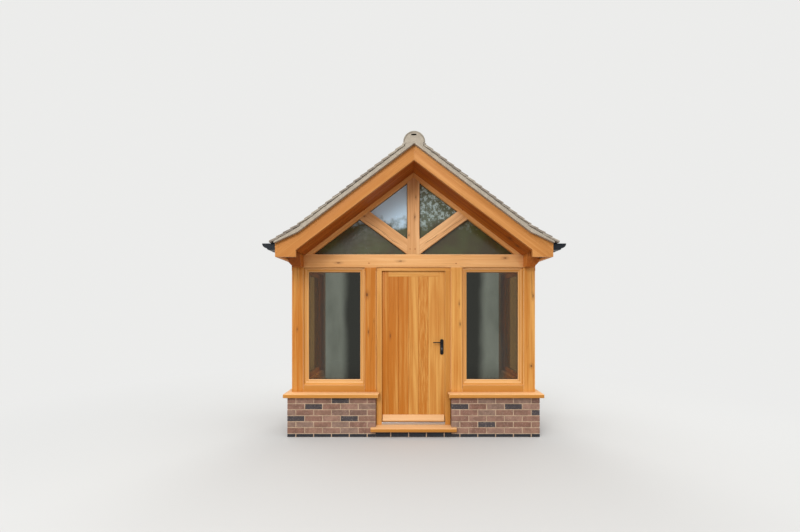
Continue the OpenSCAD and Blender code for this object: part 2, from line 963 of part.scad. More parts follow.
// Upright boards between the stiles
module door_boards() {
    board_y = leaf_y + board_back;
    half = board_joint / 2;
    front = [for (i = [1 : board_count - 1], s = [-1, 0, 1])
        [i * board_pitch - boards_half + s * half, board_y + (1 - abs(s)) * half]];
    rear = [for (i = [board_count - 1 : -1 : 1], s = [1, 0, -1])
        [i * board_pitch - boards_half + s * half, ledge_y - (1 - abs(s)) * half]];
    color(OAK)
        translate([0, 0, leaf_z])
            linear_extrude(height = board_top - leaf_z)
                polygon(concat(
                    [[-boards_half, board_y]],
                    front,
                    [[boards_half, board_y], [boards_half, ledge_y]],
                    rear,
                    [[-boards_half, ledge_y]]));
}

// Sloping weatherboard across the foot of the door
module weatherboard() {
    drip_half = stop_half - drip_gap;
    color(OAK)
        run_x([
            [leaf_y, drip_z],
            [leaf_y, drip_z + drip_h],
            [leaf_y - drip_top, drip_z + drip_h],
            [leaf_y - drip_out, drip_z + drip_edge],
            [leaf_y - drip_out, drip_z]], -drip_half, drip_half);
}

// Capsule-shaped handle plate in X and Z, run along Y from y0 to y1
module capsule(y0, y1) {
    reach = (plate_len - plate_w) / 2;
    translate([handle_x, y1, plate_mid])
        rotate([90, 0, 0])
            linear_extrude(height = y1 - y0)
                union() {
                    translate([0, reach])
                        circle(d = plate_w, $fn = 48);
                    translate([0, -reach])
                        circle(d = plate_w, $fn = 48);
                    square([plate_w, 2 * reach], center = true);
                }
}

// Handle plates on both faces of the leaf, with the ends of the key cylinder
module handle_plates() {
    key_z = lever_z - key_drop;
    round_z = key_z + key_h / 2 - key_r;
    color(BLACK)
        for (outside = [true, false]) {
            y0 = outside ? leaf_y - plate_t : leaf_back_y;
            k0 = outside ? y0 - key_proud : y0;
            difference() {
                union() {
                    capsule(y0, y0 + plate_t);
                    translate([handle_x, k0 + plate_t + key_proud, round_z])
                        rotate([90, 0, 0])
                            cylinder(h = plate_t + key_proud, r = key_r, $fn = 32);
                    block([handle_x - key_w / 2, k0, key_z - key_h / 2],
                        [handle_x + key_w / 2, k0 + plate_t + key_proud, round_z]);
                }
                translate([handle_x, y0 + plate_t + tiny, lever_z])
                    rotate([90, 0, 0])
                        cylinder(h = plate_t + 2 * tiny, r = neck_r + neck_clear, $fn = 48);
            }
        }
}

// Lever handles inside and outside, on one spindle
module lever() {
    outer_y = leaf_y - plate_t;
    inner_face_y = leaf_back_y + plate_t;
    color(BLACK)
        union() {
            block([handle_x - spindle_half, outer_y, lever_z - spindle_half],
                [handle_x + spindle_half, inner_face_y, lever_z + spindle_half]);
            for (y0 = [outer_y - neck_len, inner_face_y - plate_t]) {
                translate([handle_x, y0 + neck_len + plate_t, lever_z])
                    rotate([90, 0, 0])
                        cylinder(h = neck_len + plate_t, r = neck_r, $fn = 48);
            }
            for (y0 = [outer_y - neck_len - lever_t + tiny, inner_face_y + neck_len - tiny]) {
                block([handle_x - lever_len + lever_h / 2, y0, lever_z - lever_h / 2],
                    [handle_x, y0 + lever_t, lever_z + lever_h / 2]);
                for (x = [handle_x, handle_x - lever_len + lever_h / 2])
                    translate([x, y0 + lever_t, lever_z])
                        rotate([90, 0, 0])
                            cylinder(h = lever_t, r = x == handle_x ? neck_r : lever_h / 2, $fn = 48);
            }
        }
}

// Hinge knuckle around the axis, between two heights
module knuckle(z0, z1, r) {
    translate([hinge_x, hinge_y, z0])
        cylinder(h = z1 - z0, r = r, $fn = 32);
}

// Fixed flaps and the outer knuckles
module frame_hinges() {
    flap_x = -leaf_half - leaf_gap;
    color("silver")
        for (z = hinge_zs)
            union() {
                difference() {
                    block([flap_x, hinge_y - flap_w, z - hinge_len / 2],
                        [flap_x + flap_t, hinge_y, z + hinge_len / 2]);
                    knuckle(z - knuckle_half - knuckle_gap, z + knuckle_half + knuckle_gap,
                        knuckle_r + knuckle_gap);
                }
                knuckle(z + knuckle_half + knuckle_gap, z + hinge_len / 2, knuckle_r);
                knuckle(z - hinge_len / 2, z - knuckle_half - knuckle_gap, knuckle_r);
            }
}

// Moving flaps and the middle knuckles
module leaf_hinges() {
    flap_x = -leaf_half - flap_t;
    color("silver")
        for (z = hinge_zs)
            union() {
                difference() {
                    block([flap_x, hinge_y - flap_w, z - hinge_len / 2],
                        [flap_x + flap_t, hinge_y, z + hinge_len / 2]);
                    for (end = [-1, 1])
                        translate([0, 0, end * (knuckle_half + hinge_len / 2)])
                            knuckle(z - hinge_len / 2, z + hinge_len / 2, knuckle_r + knuckle_gap);
                }
                knuckle(z - knuckle_half, z + knuckle_half, knuckle_r);
            }
}

plinth(true);  // plinth_left
plinth(false);  // plinth_right
step_course();
floor_slab();
window_sill(true);  // window_sill_left
window_sill(false);  // window_sill_right
front_post(true, post_in);  // corner_post_left
front_post(false, post_in);  // corner_post_right
front_post(true, door_half);  // door_post_left
front_post(false, door_half);  // door_post_right
wall_posts();
bottom_rails();
window_frame_front(true);  // window_frame_front_left
window_frame_front(false);  // window_frame_front_right
window_frame_side(true);  // window_frame_side_left
window_frame_side(false);  // window_frame_side_right
window_glass();
tie_beam();
wall_plate(true);  // wall_plate_left
wall_plate(false);  // wall_plate_right
rafter(true);  // rafter_left
rafter(false);  // rafter_right
king_post();
struts();
gable_glass();
ridge_board();
roof_deck(true);  // roof_deck_left
roof_deck(false);  // roof_deck_right
overhang_soffit();
bargeboard(true);  // bargeboard_left
bargeboard(false);  // bargeboard_right
eaves_box(true);  // eaves_box_left
eaves_box(false);  // eaves_box_right
roof_tiles(true);  // roof_tiles_left
roof_tiles(false);  // roof_tiles_right
ridge_tiles();
ridge_mortar();
gutter(true);  // gutter_left
gutter(false);  // gutter_right
door_sill();
door_frame();
weather_bar();
door_leaf();
door_boards();
weatherboard();
handle_plates();
lever();
frame_hinges();
leaf_hinges();
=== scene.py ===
"""Looks of an oak-framed entrance porch, built around its packed construction model."""

from __future__ import annotations

import json
import logging
import math
import random
from collections.abc import Callable, Iterable
from dataclasses import dataclass, field
from enum import Enum

import bmesh
import bpy
from bmesh.types import BMesh, BMFace, BMVert
from mathutils import Matrix, Vector

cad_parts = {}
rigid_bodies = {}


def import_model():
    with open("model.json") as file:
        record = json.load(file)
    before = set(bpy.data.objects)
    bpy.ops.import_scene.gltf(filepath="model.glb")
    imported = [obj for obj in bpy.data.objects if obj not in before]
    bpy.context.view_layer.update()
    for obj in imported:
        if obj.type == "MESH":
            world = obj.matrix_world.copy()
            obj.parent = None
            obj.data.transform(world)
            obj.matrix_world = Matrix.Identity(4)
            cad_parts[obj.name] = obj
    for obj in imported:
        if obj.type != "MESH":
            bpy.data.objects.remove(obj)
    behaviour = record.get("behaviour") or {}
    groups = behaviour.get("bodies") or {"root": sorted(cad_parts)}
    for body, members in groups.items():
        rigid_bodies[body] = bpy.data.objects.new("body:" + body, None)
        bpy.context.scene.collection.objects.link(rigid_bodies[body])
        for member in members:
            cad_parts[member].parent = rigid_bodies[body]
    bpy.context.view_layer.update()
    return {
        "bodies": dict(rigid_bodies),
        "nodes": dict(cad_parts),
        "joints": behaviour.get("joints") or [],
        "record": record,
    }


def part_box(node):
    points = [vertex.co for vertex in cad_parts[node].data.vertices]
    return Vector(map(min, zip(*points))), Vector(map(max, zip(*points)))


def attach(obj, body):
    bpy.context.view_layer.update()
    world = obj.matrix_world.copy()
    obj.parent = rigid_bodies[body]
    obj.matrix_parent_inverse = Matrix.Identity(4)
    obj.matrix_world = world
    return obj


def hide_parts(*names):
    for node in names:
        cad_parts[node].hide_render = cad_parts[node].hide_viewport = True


LOG = logging.getLogger("porch")
Pair = tuple[float, float]
Triple = tuple[float, float, float]
Colour = tuple[float, float, float, float]
Node, Socket, Outputs = bpy.types.Node, bpy.types.NodeSocket, bpy.types.NodeOutputs
Sorter = Callable[[Vector], tuple[str, Vector]]
Tones = Callable[[int, str], float]

ACROSS, ALONG, UP = Vector((1, 0, 0)), Vector((0, 1, 0)), Vector((0, 0, 1))
ORIGIN: Triple = (0.0, 0.0, 0.0)
SIDES = (("left", -1.0), ("right", 1.0))
PITCH = math.radians(37.2)
FRAME_Y, INNER_Y, WALL_Y = -0.415, -0.265, 0.925
POST_IN = 1.390
TOUCH = 1e-5
NEAR = 1e-4


def srgb(red: int, green: int, blue: int) -> Colour:
    """Turn an 8-bit display colour into the linear colour that a shader takes.

    Args:
        red: Red from 0 to 255.
        green: Green from 0 to 255.
        blue: Blue from 0 to 255.

    Returns:
        The linear colour with an alpha of one.
    """
    def line(value: int) -> float:
        """Linear value of one display channel."""
        share = value / 255
        return share / 12.92 if share <= 0.04045 else ((share + 0.055) / 1.055) ** 2.4

    return line(red), line(green), line(blue), 1.0


class NodeBench:
    """Adds, sets and links the nodes of one tree."""

    def __init__(self, tree: bpy.types.NodeTree) -> None:
        """Start with the emptied tree of a material, a world or a group."""
        self.tree = tree
        self.tree.nodes.clear()

    def plug(self, socket: Socket, value: object) -> None:
        """Link a socket, or set its own value.

        Args:
            socket: The input to feed.
            value: Another socket, or a number, vector or colour.
        """
        if isinstance(value, Socket):
            self.tree.links.new(value, socket)
        else:
            socket.default_value = value

    def add(self, kind: str, inputs: dict[str | int, object] | None = None, **settings: object) -> Node:
        """Add a node.

        Args:
            kind: The node's type name.
            inputs: Values or sockets for its inputs, by name or index.
            settings: Attributes of the node.

        Returns:
            The new node.
        """
        node = self.tree.nodes.new(kind)
        for name, value in settings.items():
            setattr(node, name, value)
        for key, value in (inputs or {}).items():
            self.plug(node.inputs[key], value)
        return node

    def math(self, operation: str, *values: object, clamp: bool = False) -> Socket:
        """Result of a Math node on the given values or sockets."""
        return self.add("ShaderNodeMath", dict(enumerate(values)), operation=operation, use_clamp=clamp).outputs[0]

    def times(self, first: object, second: object) -> Socket:
        """Product of two values or sockets."""
        return self.math("MULTIPLY", first, second)

    def sway(self, value: object, noise: object, reach: float) -> Socket:
        """Value that a noise moves up and down by up to half of the reach."""
        return self.math("MULTIPLY_ADD", self.math("SUBTRACT", noise, 0.5), reach, value)

    def vector(self, operation: str, *values: object) -> Socket:
        """Result of a Vector Math node on the given values or sockets."""
        node = self.add("ShaderNodeVectorMath", dict(enumerate(values)), operation=operation)
        return node.outputs["Value" if operation in {"DOT_PRODUCT", "LENGTH"} else "Vector"]

    def mix(self, factor: object, first: object, second: object, blend: str = "MIX") -> Socket:
        """Mix of two colours or sockets, where the factor is the share of the second."""
        inputs = {0: factor, 6: first, 7: second}
        return self.add("ShaderNodeMix", inputs, data_type="RGBA", blend_type=blend).outputs[2]

    def coats(self, colour: object, *layers: tuple[object, object, object]) -> Socket:
        """Lay colours over one another.

        Args:
            colour: The lowest colour or socket.
            layers: Mask, share and colour of each coat, from the first one up.

        Returns:
            The colour of the whole.
        """
        for mask, share, coat in layers:
            colour = self.mix(self.times(mask, share), colour, coat)
        return colour

    def noise(self, where: object, scale: float, detail: float = 3.0, rough: float = 0.5) -> Socket:
        """Value of a Noise Texture at a position."""
        inputs = {"Vector": where, "Scale": scale, "Detail": detail, "Roughness": rough}
        return self.add("ShaderNodeTexNoise", inputs).outputs["Fac"]

    def streaks(self, where: object, stretch: Triple, detail: float, rough: float) -> Socket:
        """Value of a noise whose scale differs along X, Y and Z."""
        return self.noise(self.vector("MULTIPLY", where, stretch), 1.0, detail, rough)

    def drift(self, where: object, scale: float, detail: float, reach: Triple) -> Socket:
        """Vector of a noise around zero, times the reach along X, Y and Z."""
        noise = self.add("ShaderNodeTexNoise", {"Vector": where, "Scale": scale, "Detail": detail}).outputs["Color"]
        return self.vector("MULTIPLY", self.vector("SUBTRACT", noise, (0.5, 0.5, 0.5)), reach)

    def steps(self, value: object, low: float, high: float, out: Pair = (0.0, 1.0)) -> Socket:
        """Smooth step of a value from low to high, onto the range out."""
        inputs = dict(enumerate((value, low, high, *out)))
        return self.add("ShaderNodeMapRange", inputs, interpolation_type="SMOOTHSTEP").outputs["Result"]

    def ramp(self, value: object, stops: Iterable[tuple[float, Colour]]) -> Socket:
        """Colour Ramp of a value.

        Args:
            value: The socket that runs from zero to one.
            stops: Positions and colours, from left to right.

        Returns:
            The colour.
        """
        node = self.add("ShaderNodeValToRGB", {0: value})
        points = list(stops)
        while len(node.color_ramp.elements) < len(points):
            node.color_ramp.elements.new(1.0)
        for element, (place, colour) in zip(node.color_ramp.elements, points):
            element.position = place
            element.color = colour
        return node.outputs["Color"]

    def bump(self, height: object, depth: float) -> Socket:
        """Normal of a relief, where a height of one stands for the depth in metres."""
        return self.add("ShaderNodeBump", {"Height": height, "Strength": 1.0, "Distance": depth}).outputs["Normal"]

    def own(self, name: str, output: str = "Fac") -> Socket:
        """Value of one of the mesh's own attributes."""
        return self.add("ShaderNodeAttribute", attribute_name=name).outputs[output]

    def here(self) -> Socket:
        """Object coordinates of the shaded point."""
        return self.add("ShaderNodeTexCoord").outputs["Object"]

    def split(self, where: object) -> Outputs:
        """X, Y and Z of a position."""
        return self.add("ShaderNodeSeparateXYZ", {0: where}).outputs


class EffectGroup:
    """A shader node group with named inputs and outputs, built once and placed in several materials."""

    name = "effect"
    takes: dict[str, object] = {}

    def tree(self) -> bpy.types.NodeTree:
        """Return the group's tree, built on its first use."""
        found = bpy.data.node_groups.get(self.name)
        if found:
            return found
        tree = bpy.data.node_groups.new(self.name, "ShaderNodeTree")
        bench = NodeBench(tree)
        for label, value in self.takes.items():
            kind = "NodeSocketVector" if isinstance(value, tuple) else "NodeSocketFloat"
            tree.interface.new_socket(label, in_out="INPUT", socket_type=kind).default_value = value
        gives = self.wire(bench, bench.add("NodeGroupInput").outputs)
        for label in gives:
            tree.interface.new_socket(label, in_out="OUTPUT", socket_type="NodeSocketFloat")
        bench.add("NodeGroupOutput", gives)
        return tree

    def wire(self, bench: NodeBench, given: Outputs) -> dict[str, Socket]:
        """Build the effect.

        Args:
            bench: The group's nodes.
            given: Sockets with what the group takes.

        Returns:
            The socket behind each of the group's outputs, all of them values.
        """
        raise NotImplementedError

    def place(self, bench: NodeBench, **values: object) -> Outputs:
        """Put the group into a material with values or sockets by input name, and return its outputs."""
        return bench.add("ShaderNodeGroup", values, node_tree=self.tree()).outputs


class OakGrain(EffectGroup):
    """Growth rings, streaks, pores and drying shakes that run along a member."""

    name = "oak grain"
    takes = {"Grain": ORIGIN, "Ring Gap": 0.004}
    noises: dict[str, tuple[Triple, float, float]] = {
        "broad": ((0.7, 22.0, 22.0), 4.0, 0.6), "lines": ((1.6, 120.0, 120.0), 3.0, 0.6),
        "fine": ((9.0, 420.0, 420.0), 2.0, 0.6), "split": ((0.8, 13.0, 13.0), 2.0, 0.4),
        "gate": ((1.6, 4.0, 4.0), 1.0, 0.5)}
    pith_scale: Triple = (0.8, 3.0, 3.0)
    pith_reach: Triple = (0.0, 0.08, 0.08)
    section: Triple = (0.02, 1.0, 1.0)
    streak_span: Pair = (0.18, 0.82)
    pore_span: Pair = (0.60, 0.72)
    shake_half: Pair = (0.012, 0.004)
    shake_span: Pair = (0.60, 0.68)
    line_share: float = 0.45
    sharpness: float = 1.6
    heights: Triple = (0.25, 0.5, 3.0)

    def wire(self, bench: NodeBench, given: Outputs) -> dict[str, Socket]:
        """Take the rings from the distance to a wandering pith, and the rest from noise along the grain.

        Args:
            bench: The group's nodes.
            given: The grain position and the gap between two rings.

        Returns:
            Masks of the figure, streaks, pores and shakes, and the height.
        """
        grain = given["Grain"]
        noise = {label: bench.streaks(grain, *values) for label, values in self.noises.items()}
        pith = bench.drift(bench.vector("MULTIPLY", grain, self.pith_scale), 1.0, 1.0, self.pith_reach)
        reach = bench.vector("LENGTH", bench.vector("MULTIPLY", bench.vector("ADD", grain, pith), self.section))
        rings = bench.math("SINE", bench.math("DIVIDE", reach, given["Ring Gap"]))
        figure = bench.math("POWER", bench.math("MULTIPLY_ADD", rings, 0.5, 0.5), self.sharpness)
        pores = bench.steps(noise["fine"], *self.pore_span)
        near = bench.math("ABSOLUTE", bench.math("SUBTRACT", noise["split"], 0.5))
        shakes = bench.times(bench.steps(near, *self.shake_half), bench.steps(noise["gate"], *self.shake_span))
        raised, sunk, split = self.heights
        height = bench.math("SUBTRACT", bench.times(figure, raised), bench.times(pores, sunk))
        streaks = bench.steps(bench.sway(noise["broad"], noise["lines"], self.line_share), *self.streak_span)
        return {"Figure": figure, "Streaks": streaks, "Pores": pores, "Shakes": shakes,
                "Height": bench.math("SUBTRACT", height, bench.times(shakes, split))}


class Knots(EffectGroup):
    """Knots at chosen places, with a dark heart and a swirl of darker wood around each."""

    name = "knots"
    takes = {"Point": ORIGIN}
    places: tuple[tuple[float, float, float, float, float], ...] = (
        (-0.947, FRAME_Y, 2.191, 0.026, 0.008), (-0.167, FRAME_Y, 2.212, 0.028, 0.008),
        (1.157, FRAME_Y, 2.252, 0.022, 0.010), (0.030, FRAME_Y, 3.022, 0.006, 0.014),
        (0.017, FRAME_Y, 2.770, 0.008, 0.022), (-0.057, FRAME_Y, 2.543, 0.006, 0.016),
        (-0.588, FRAME_Y, 1.789, 0.016, 0.026), (-0.570, FRAME_Y, 1.317, 0.007, 0.026),
        (0.579, FRAME_Y, 1.676, 0.006, 0.022), (0.590, FRAME_Y, 1.418, 0.008, 0.022),
        (1.511, FRAME_Y, 1.772, 0.009, 0.024), (1.490, FRAME_Y, 0.887, 0.013, 0.016),
        (-0.296, -0.363, 1.265, 0.007, 0.026), (-1.470, FRAME_Y, 1.350, 0.006, 0.018),
        (-0.620, FRAME_Y, 2.780, 0.012, 0.008), (0.700, FRAME_Y, 2.640, 0.010, 0.008),
        (1.153, -0.669, 2.457, 0.028, 0.018), (1.262, -0.602, 2.374, 0.024, 0.018),
        (-0.980, -0.875, 2.760, 0.010, 0.008), (0.640, -0.875, 3.020, 0.009, 0.007))
    wobble: Pair = (70.0, 4.0)
    jitter: Triple = (0.02, 0.02, 0.02)
    far: float = 100.0
    heart: Pair = (1.15, 0.45)
    halo: Pair = (3.6, 0.9)

    def wire(self, bench: NodeBench, given: Outputs) -> dict[str, Socket]:
        """Take the nearest knot by comparing distances, each over the knot's own width and height.

        Args:
            bench: The group's nodes.
            given: The shaded point.

        Returns:
            Masks of the hearts and of the swirls around them.
        """
        point = bench.vector("ADD", given["Point"], bench.drift(given["Point"], *self.wobble, self.jitter))
        nearest: object = self.far
        for x, y, z, wide, high in self.places:
            away = bench.vector("SUBTRACT", point, (x, y, z))
            gap = bench.vector("LENGTH", bench.vector("MULTIPLY", away, (1 / wide, 1 / wide, 1 / high)))
            nearest = bench.math("MINIMUM", nearest, gap)
        return {"Heart": bench.steps(nearest, *self.heart), "Halo": bench.steps(nearest, *self.halo)}


class LongShakes(EffectGroup):
    """Long dark drying cracks at chosen places on the front of the truss."""

    name = "long shakes"
    takes = {"Point": ORIGIN}
    front: Pair = (-0.395, -0.405)
    half: Pair = (0.0035, 0.0012)
    wave: float = 9.0
    wander: float = 0.035
    ends: tuple[Pair, Pair] = ((0.0, 0.2), (1.0, 0.7))
    lines: tuple[tuple[float, float, float, float], ...] = (
        (-0.640, 2.742, -0.272, 2.508), (-0.420, 2.590, -0.150, 2.400),
        (0.330, 2.545, 0.690, 2.800), (0.120, 2.420, 0.330, 2.560))

    def wire(self, bench: NodeBench, given: Outputs) -> dict[str, Socket]:
        """Measure the distance to each line, let it wander, and thin it out at both ends.

        Args:
            bench: The group's nodes.
            given: The shaded point.

        Returns:
            A mask of the cracks.
        """
        parts = bench.split(given["Point"])
        noise = bench.noise(given["Point"], self.wave)
        total: object = 0.0
        for x0, z0, x1, z1 in self.lines:
            length = math.hypot(x1 - x0, z1 - z0)
            dx, dz = (x1 - x0) / length, (z1 - z0) / length
            right, up = bench.math("SUBTRACT", parts["X"], x0), bench.math("SUBTRACT", parts["Z"], z0)
            along = bench.math("ADD", bench.times(right, dx), bench.times(up, dz))
            across = bench.math("SUBTRACT", bench.times(up, dx), bench.times(right, dz))
            line = bench.steps(bench.math("ABSOLUTE", bench.sway(across, noise, self.wander)), *self.half)
            share = bench.math("DIVIDE", along, length)
            taper = bench.times(*(bench.steps(share, *end) for end in self.ends))
            total = bench.math("MAXIMUM", total, bench.times(line, taper))
        return {"Line": bench.times(total, bench.steps(parts["Y"], *self.front))}


class Mottle(EffectGroup):
    """Cloudy patches, smears and fine specks of fired clay, mortar and cement."""

    name = "mottle"
    takes = {"Point": ORIGIN, "Size": 1.0}
    masks: dict[str, tuple[Triple, Pair]] = {
        "Patches": ((14.0, 4.0, 0.55), (0.35, 0.65)), "Specks": ((260.0, 2.0, 0.6), (0.45, 0.70)),
        "Smears": ((48.0, 5.0, 0.7), (0.52, 0.70))}
    pits: Triple = (700.0, 2.0, 0.6)
    heights: Triple = (0.6, 0.8, 0.4)

    def wire(self, bench: NodeBench, given: Outputs) -> dict[str, Socket]:
        """Combine four scales of noise, from clouds down to the relief.

        Args:
            bench: The group's nodes.
            given: The shaded point and the factor on its coordinates.

        Returns:
            Masks of the patches, specks and smears, and the height.
        """
        point = bench.vector("MULTIPLY", given["Point"], given["Size"])
        noise = {label: bench.noise(point, *look) for label, (look, _) in self.masks.items()}
        gives = {label: bench.steps(noise[label], *span) for label, (_, span) in self.masks.items()}
        patches, specks, deepest = self.heights
        pits = bench.times(bench.noise(point, *self.pits), deepest)
        fine = bench.math("ADD", bench.times(noise["Specks"], specks), pits)
        return gives | {"Height": bench.math("ADD", bench.times(noise["Patches"], patches), fine)}


@dataclass(frozen=True)
class Finish:
    """A finish that some pieces share."""

    name: str
    slot: str

    def material(self) -> bpy.types.Material:
        """Return the finish's material, built on its first use."""
        found = bpy.data.materials.get(self.name)
        if found:
            return found
        made = bpy.data.materials.new(self.name)
        made.use_nodes = True
        bench = NodeBench(made.node_tree)
        shader = bench.add("ShaderNodeBsdfPrincipled", self.dress(bench))
        bench.add("ShaderNodeOutputMaterial", {"Surface": shader.outputs["BSDF"]})
        return made

    def dress(self, bench: NodeBench) -> dict[str, object]:
        """Work out what feeds the shader.

        Args:
            bench: The material's nodes.

        Returns:
            A value or socket for each input of the shader that isn't left alone.
        """
        raise NotImplementedError


@dataclass(frozen=True)
class OakFinish(Finish):
    """Oiled oak with rings, pores, shakes and knots."""

    pale: Colour
    deep: Colour
    dark: Colour
    # Paler colour on eased arrises and upward faces: partly wear and sun bleaching, partly painted highlight as if
    # those faces caught more light.
    worn: Colour = srgb(240, 190, 136)
    figure: float = 0.35
    checks: float = 0.25
    rough: float = 0.52
    rub: float = 0.5
    cracked: bool = False
    heart: Colour = srgb(86, 44, 20)
    shake: Colour = srgb(70, 36, 14)
    crack: Colour = srgb(92, 50, 20)
    relief: float = 0.0006
    gloss: float = 0.22
    pore_rough: float = 0.2
    deep_shares: Pair = (0.75, 0.5)
    deep_span: Pair = (0.25, 0.95)
    dark_span: Pair = (0.95, 1.7)
    dark_share: float = 0.5
    pore_share: float = 0.2
    halo_share: float = 0.3
    heart_share: float = 0.75
    crack_share: float = 0.85
    least_rub: float = 0.4

    def dress(self, bench: NodeBench) -> dict[str, object]:
        """Layer the tones from broad streaks down to knots and shakes.

        Args:
            bench: The material's nodes.

        Returns:
            What feeds the shader.
        """
        tone, here = bench.own("tone"), bench.here()
        oak = OakGrain().place(bench, Grain=bench.own("grain", "Vector"))
        knots = Knots().place(bench, Point=here)
        streaked, member = self.deep_shares
        blend = bench.math("ADD", bench.times(oak["Streaks"], streaked), bench.times(tone, member))
        colour = bench.mix(bench.steps(blend, *self.deep_span), self.pale, self.deep)
        colour = bench.mix(bench.steps(tone, *self.dark_span, (0.0, self.dark_share)), colour, self.dark)
        colour = bench.coats(colour, (oak["Figure"], self.figure, self.deep),
                             (oak["Pores"], self.pore_share, self.dark))
        # Painted highlight with wear: faces marked in the edge attribute, the eased arrises and upward faces, turn
        # paler.
        rubbed_and_lit = bench.math("MULTIPLY_ADD", oak["Streaks"], self.rub, self.rub * self.least_rub)
        colour = bench.mix(bench.math("MULTIPLY", bench.own("edge"), rubbed_and_lit, clamp=True), colour, self.worn)
        colour = bench.coats(colour, (knots["Halo"], self.halo_share, self.dark),
                             (knots["Heart"], self.heart_share, self.heart),
                             (oak["Shakes"], self.checks, self.shake))
        if self.cracked:
            line = LongShakes().place(bench, Point=here)["Line"]
            colour = bench.coats(colour, (line, self.crack_share, self.crack))
        return {"Base Color": colour, "Specular IOR Level": self.gloss,
                "Roughness": bench.math("MULTIPLY_ADD", oak["Pores"], self.pore_rough, self.rough),
                "Normal": bench.bump(oak["Height"], self.relief)}


@dataclass(frozen=True)
class ClayFinish(Finish):
    """Fired clay whose colour goes by the tone of each brick or tile."""

    stops: tuple[tuple[float, Colour], ...]
    bloom: Colour
    bloom_share: float
    smear_share: float
    rough: float = 0.85
    relief: float = 0.0012
    soot: Colour = srgb(70, 48, 44)
    soot_share: float = 0.65
    patch_share: float = 0.45
    speck_rough: float = 0.1

    def dress(self, bench: NodeBench) -> dict[str, object]:
        """Ramp by tone, then patches, smears and pale specks.

        Args:
            bench: The material's nodes.

        Returns:
            What feeds the shader.
        """
        mottle = Mottle().place(bench, Point=bench.here())
        colour = bench.ramp(bench.own("tone"), self.stops)
        shade = bench.mix(self.soot_share, colour, self.soot, "MULTIPLY")
        colour = bench.coats(colour, (mottle["Patches"], self.patch_share, shade),
                             (mottle["Smears"], self.smear_share, self.bloom),
                             (mottle["Specks"], self.bloom_share, self.bloom))
        rough = bench.math("MULTIPLY_ADD", mottle["Specks"], self.speck_rough, self.rough)
        return {"Base Color": colour, "Roughness": rough,
                "Normal": bench.bump(mottle["Height"], self.relief)}


@dataclass(frozen=True)
class CementFinish(Finish):
    """Mortar, screed or bedding with sand in it."""

    light: Colour
    dull: Colour
    rough: float = 0.92
    relief: float = 0.0015
    grit: float = 1.6
    speck_share: float = 0.3
    speck_rough: float = 0.06

    def dress(self, bench: NodeBench) -> dict[str, object]:
        """Give two cement colours and a sandy relief.

        Args:
            bench: The material's nodes.

        Returns:
            What feeds the shader.
        """
        mottle = Mottle().place(bench, Point=bench.here(), Size=self.grit)
        colour = bench.mix(mottle["Patches"], self.light, self.dull)
        return {"Base Color": bench.coats(colour, (mottle["Specks"], self.speck_share, self.dull)),
                "Roughness": bench.math("MULTIPLY_ADD", mottle["Specks"], self.speck_rough, self.rough),
                "Normal": bench.bump(mottle["Height"], self.relief)}


@dataclass(frozen=True)
class MetalFinish(Finish):
    """Painted or bare metal with a slightly uneven surface."""

    colour: Colour
    metallic: float
    rough: float
    wear: float
    gloss: float = 0.5
    dirt: Colour = srgb(128, 124, 118)
    relief: float = 0.0001
    grit: float = 2.0
    dirt_share: float = 0.5
    patch_rough: float = 0.14

    def dress(self, bench: NodeBench) -> dict[str, object]:
        """Vary roughness and colour a little with dirt and rub marks.

        Args:
            bench: The material's nodes.

        Returns:
            What feeds the shader.
        """
        mottle = Mottle().place(bench, Point=bench.here(), Size=self.grit)
        dull = bench.mix(self.dirt_share, self.colour, self.dirt)
        return {"Base Color": bench.coats(self.colour, (mottle["Patches"], self.wear, dull)),
                "Roughness": bench.math("MULTIPLY_ADD", mottle["Patches"], self.patch_rough, self.rough),
                "Metallic": self.metallic, "Specular IOR Level": self.gloss,
                "Normal": bench.bump(mottle["Height"], self.relief)}


@dataclass(frozen=True)
class GlassFinish(Finish):
    """Tinted glass of the sealed units, with a trace of dust, and painted reflections and painted shade in its
    colour.
    """

    tint: Colour
    # Second colour of the glass, laid in soft upright streaks: a painted reflection.
    cloud: Colour
    film: float = 0.04
    clear: float = 0.94
    mirror: float = 0.15
    # Painted shade: the dark doorway behind the front panes, deepest towards the door.
    deep: Colour = srgb(28, 30, 20)
    # Painted light: lit oak behind the front panes, seen through the glass towards the corner posts.
    warm: Colour = srgb(158, 122, 68)
    front_y: Pair = (-0.30, -0.34)
    deep_x: Pair = (0.93, 0.80)
    warm_x: Pair = (1.12, 1.22)
    clouds: tuple[Triple, float, float] = ((3.0, 3.0, 1.2), 3.0, 0.55)
    cloud_span: Pair = (0.38, 0.64)
    wander: float = 0.15
    dust: Triple = (30.0, 3.0, 0.6)
    refraction: float = 1.45

    def colours(self, bench: NodeBench) -> Socket:
        """Put two tints in soft upright streaks, a painted reflection, with painted shade towards the door and a
        warmer painted view of lit oak towards the corner posts.

        Args:
            bench: The material's nodes.

        Returns:
            The colour of the glass.
        """
        here = bench.here()
        # The streaks that mix in the second colour as a painted reflection, and that also sway the painted bands.
        clouds = bench.streaks(here, *self.clouds)
        plain = bench.mix(bench.steps(clouds, *self.cloud_span), self.tint, self.cloud)
        parts = bench.split(here)
        away = bench.sway(bench.math("ABSOLUTE", parts["X"]), clouds, self.wander)
        front = bench.steps(parts["Y"], *self.front_y)
        return bench.coats(plain, (front, bench.steps(away, *self.deep_x), self.deep),
                           (front, bench.steps(away, *self.warm_x), self.warm))

    def dress(self, bench: NodeBench) -> dict[str, object]:
        """Tint the glass and leave a film of dust on it.

        Args:
            bench: The material's nodes.

        Returns:
            What feeds the shader.
        """
        dust = bench.noise(bench.here(), *self.dust)
        return {"Base Color": self.colours(bench), "Roughness": bench.times(dust, self.film),
                "Transmission Weight": self.clear, "IOR": self.refraction, "Specular IOR Level": self.mirror}


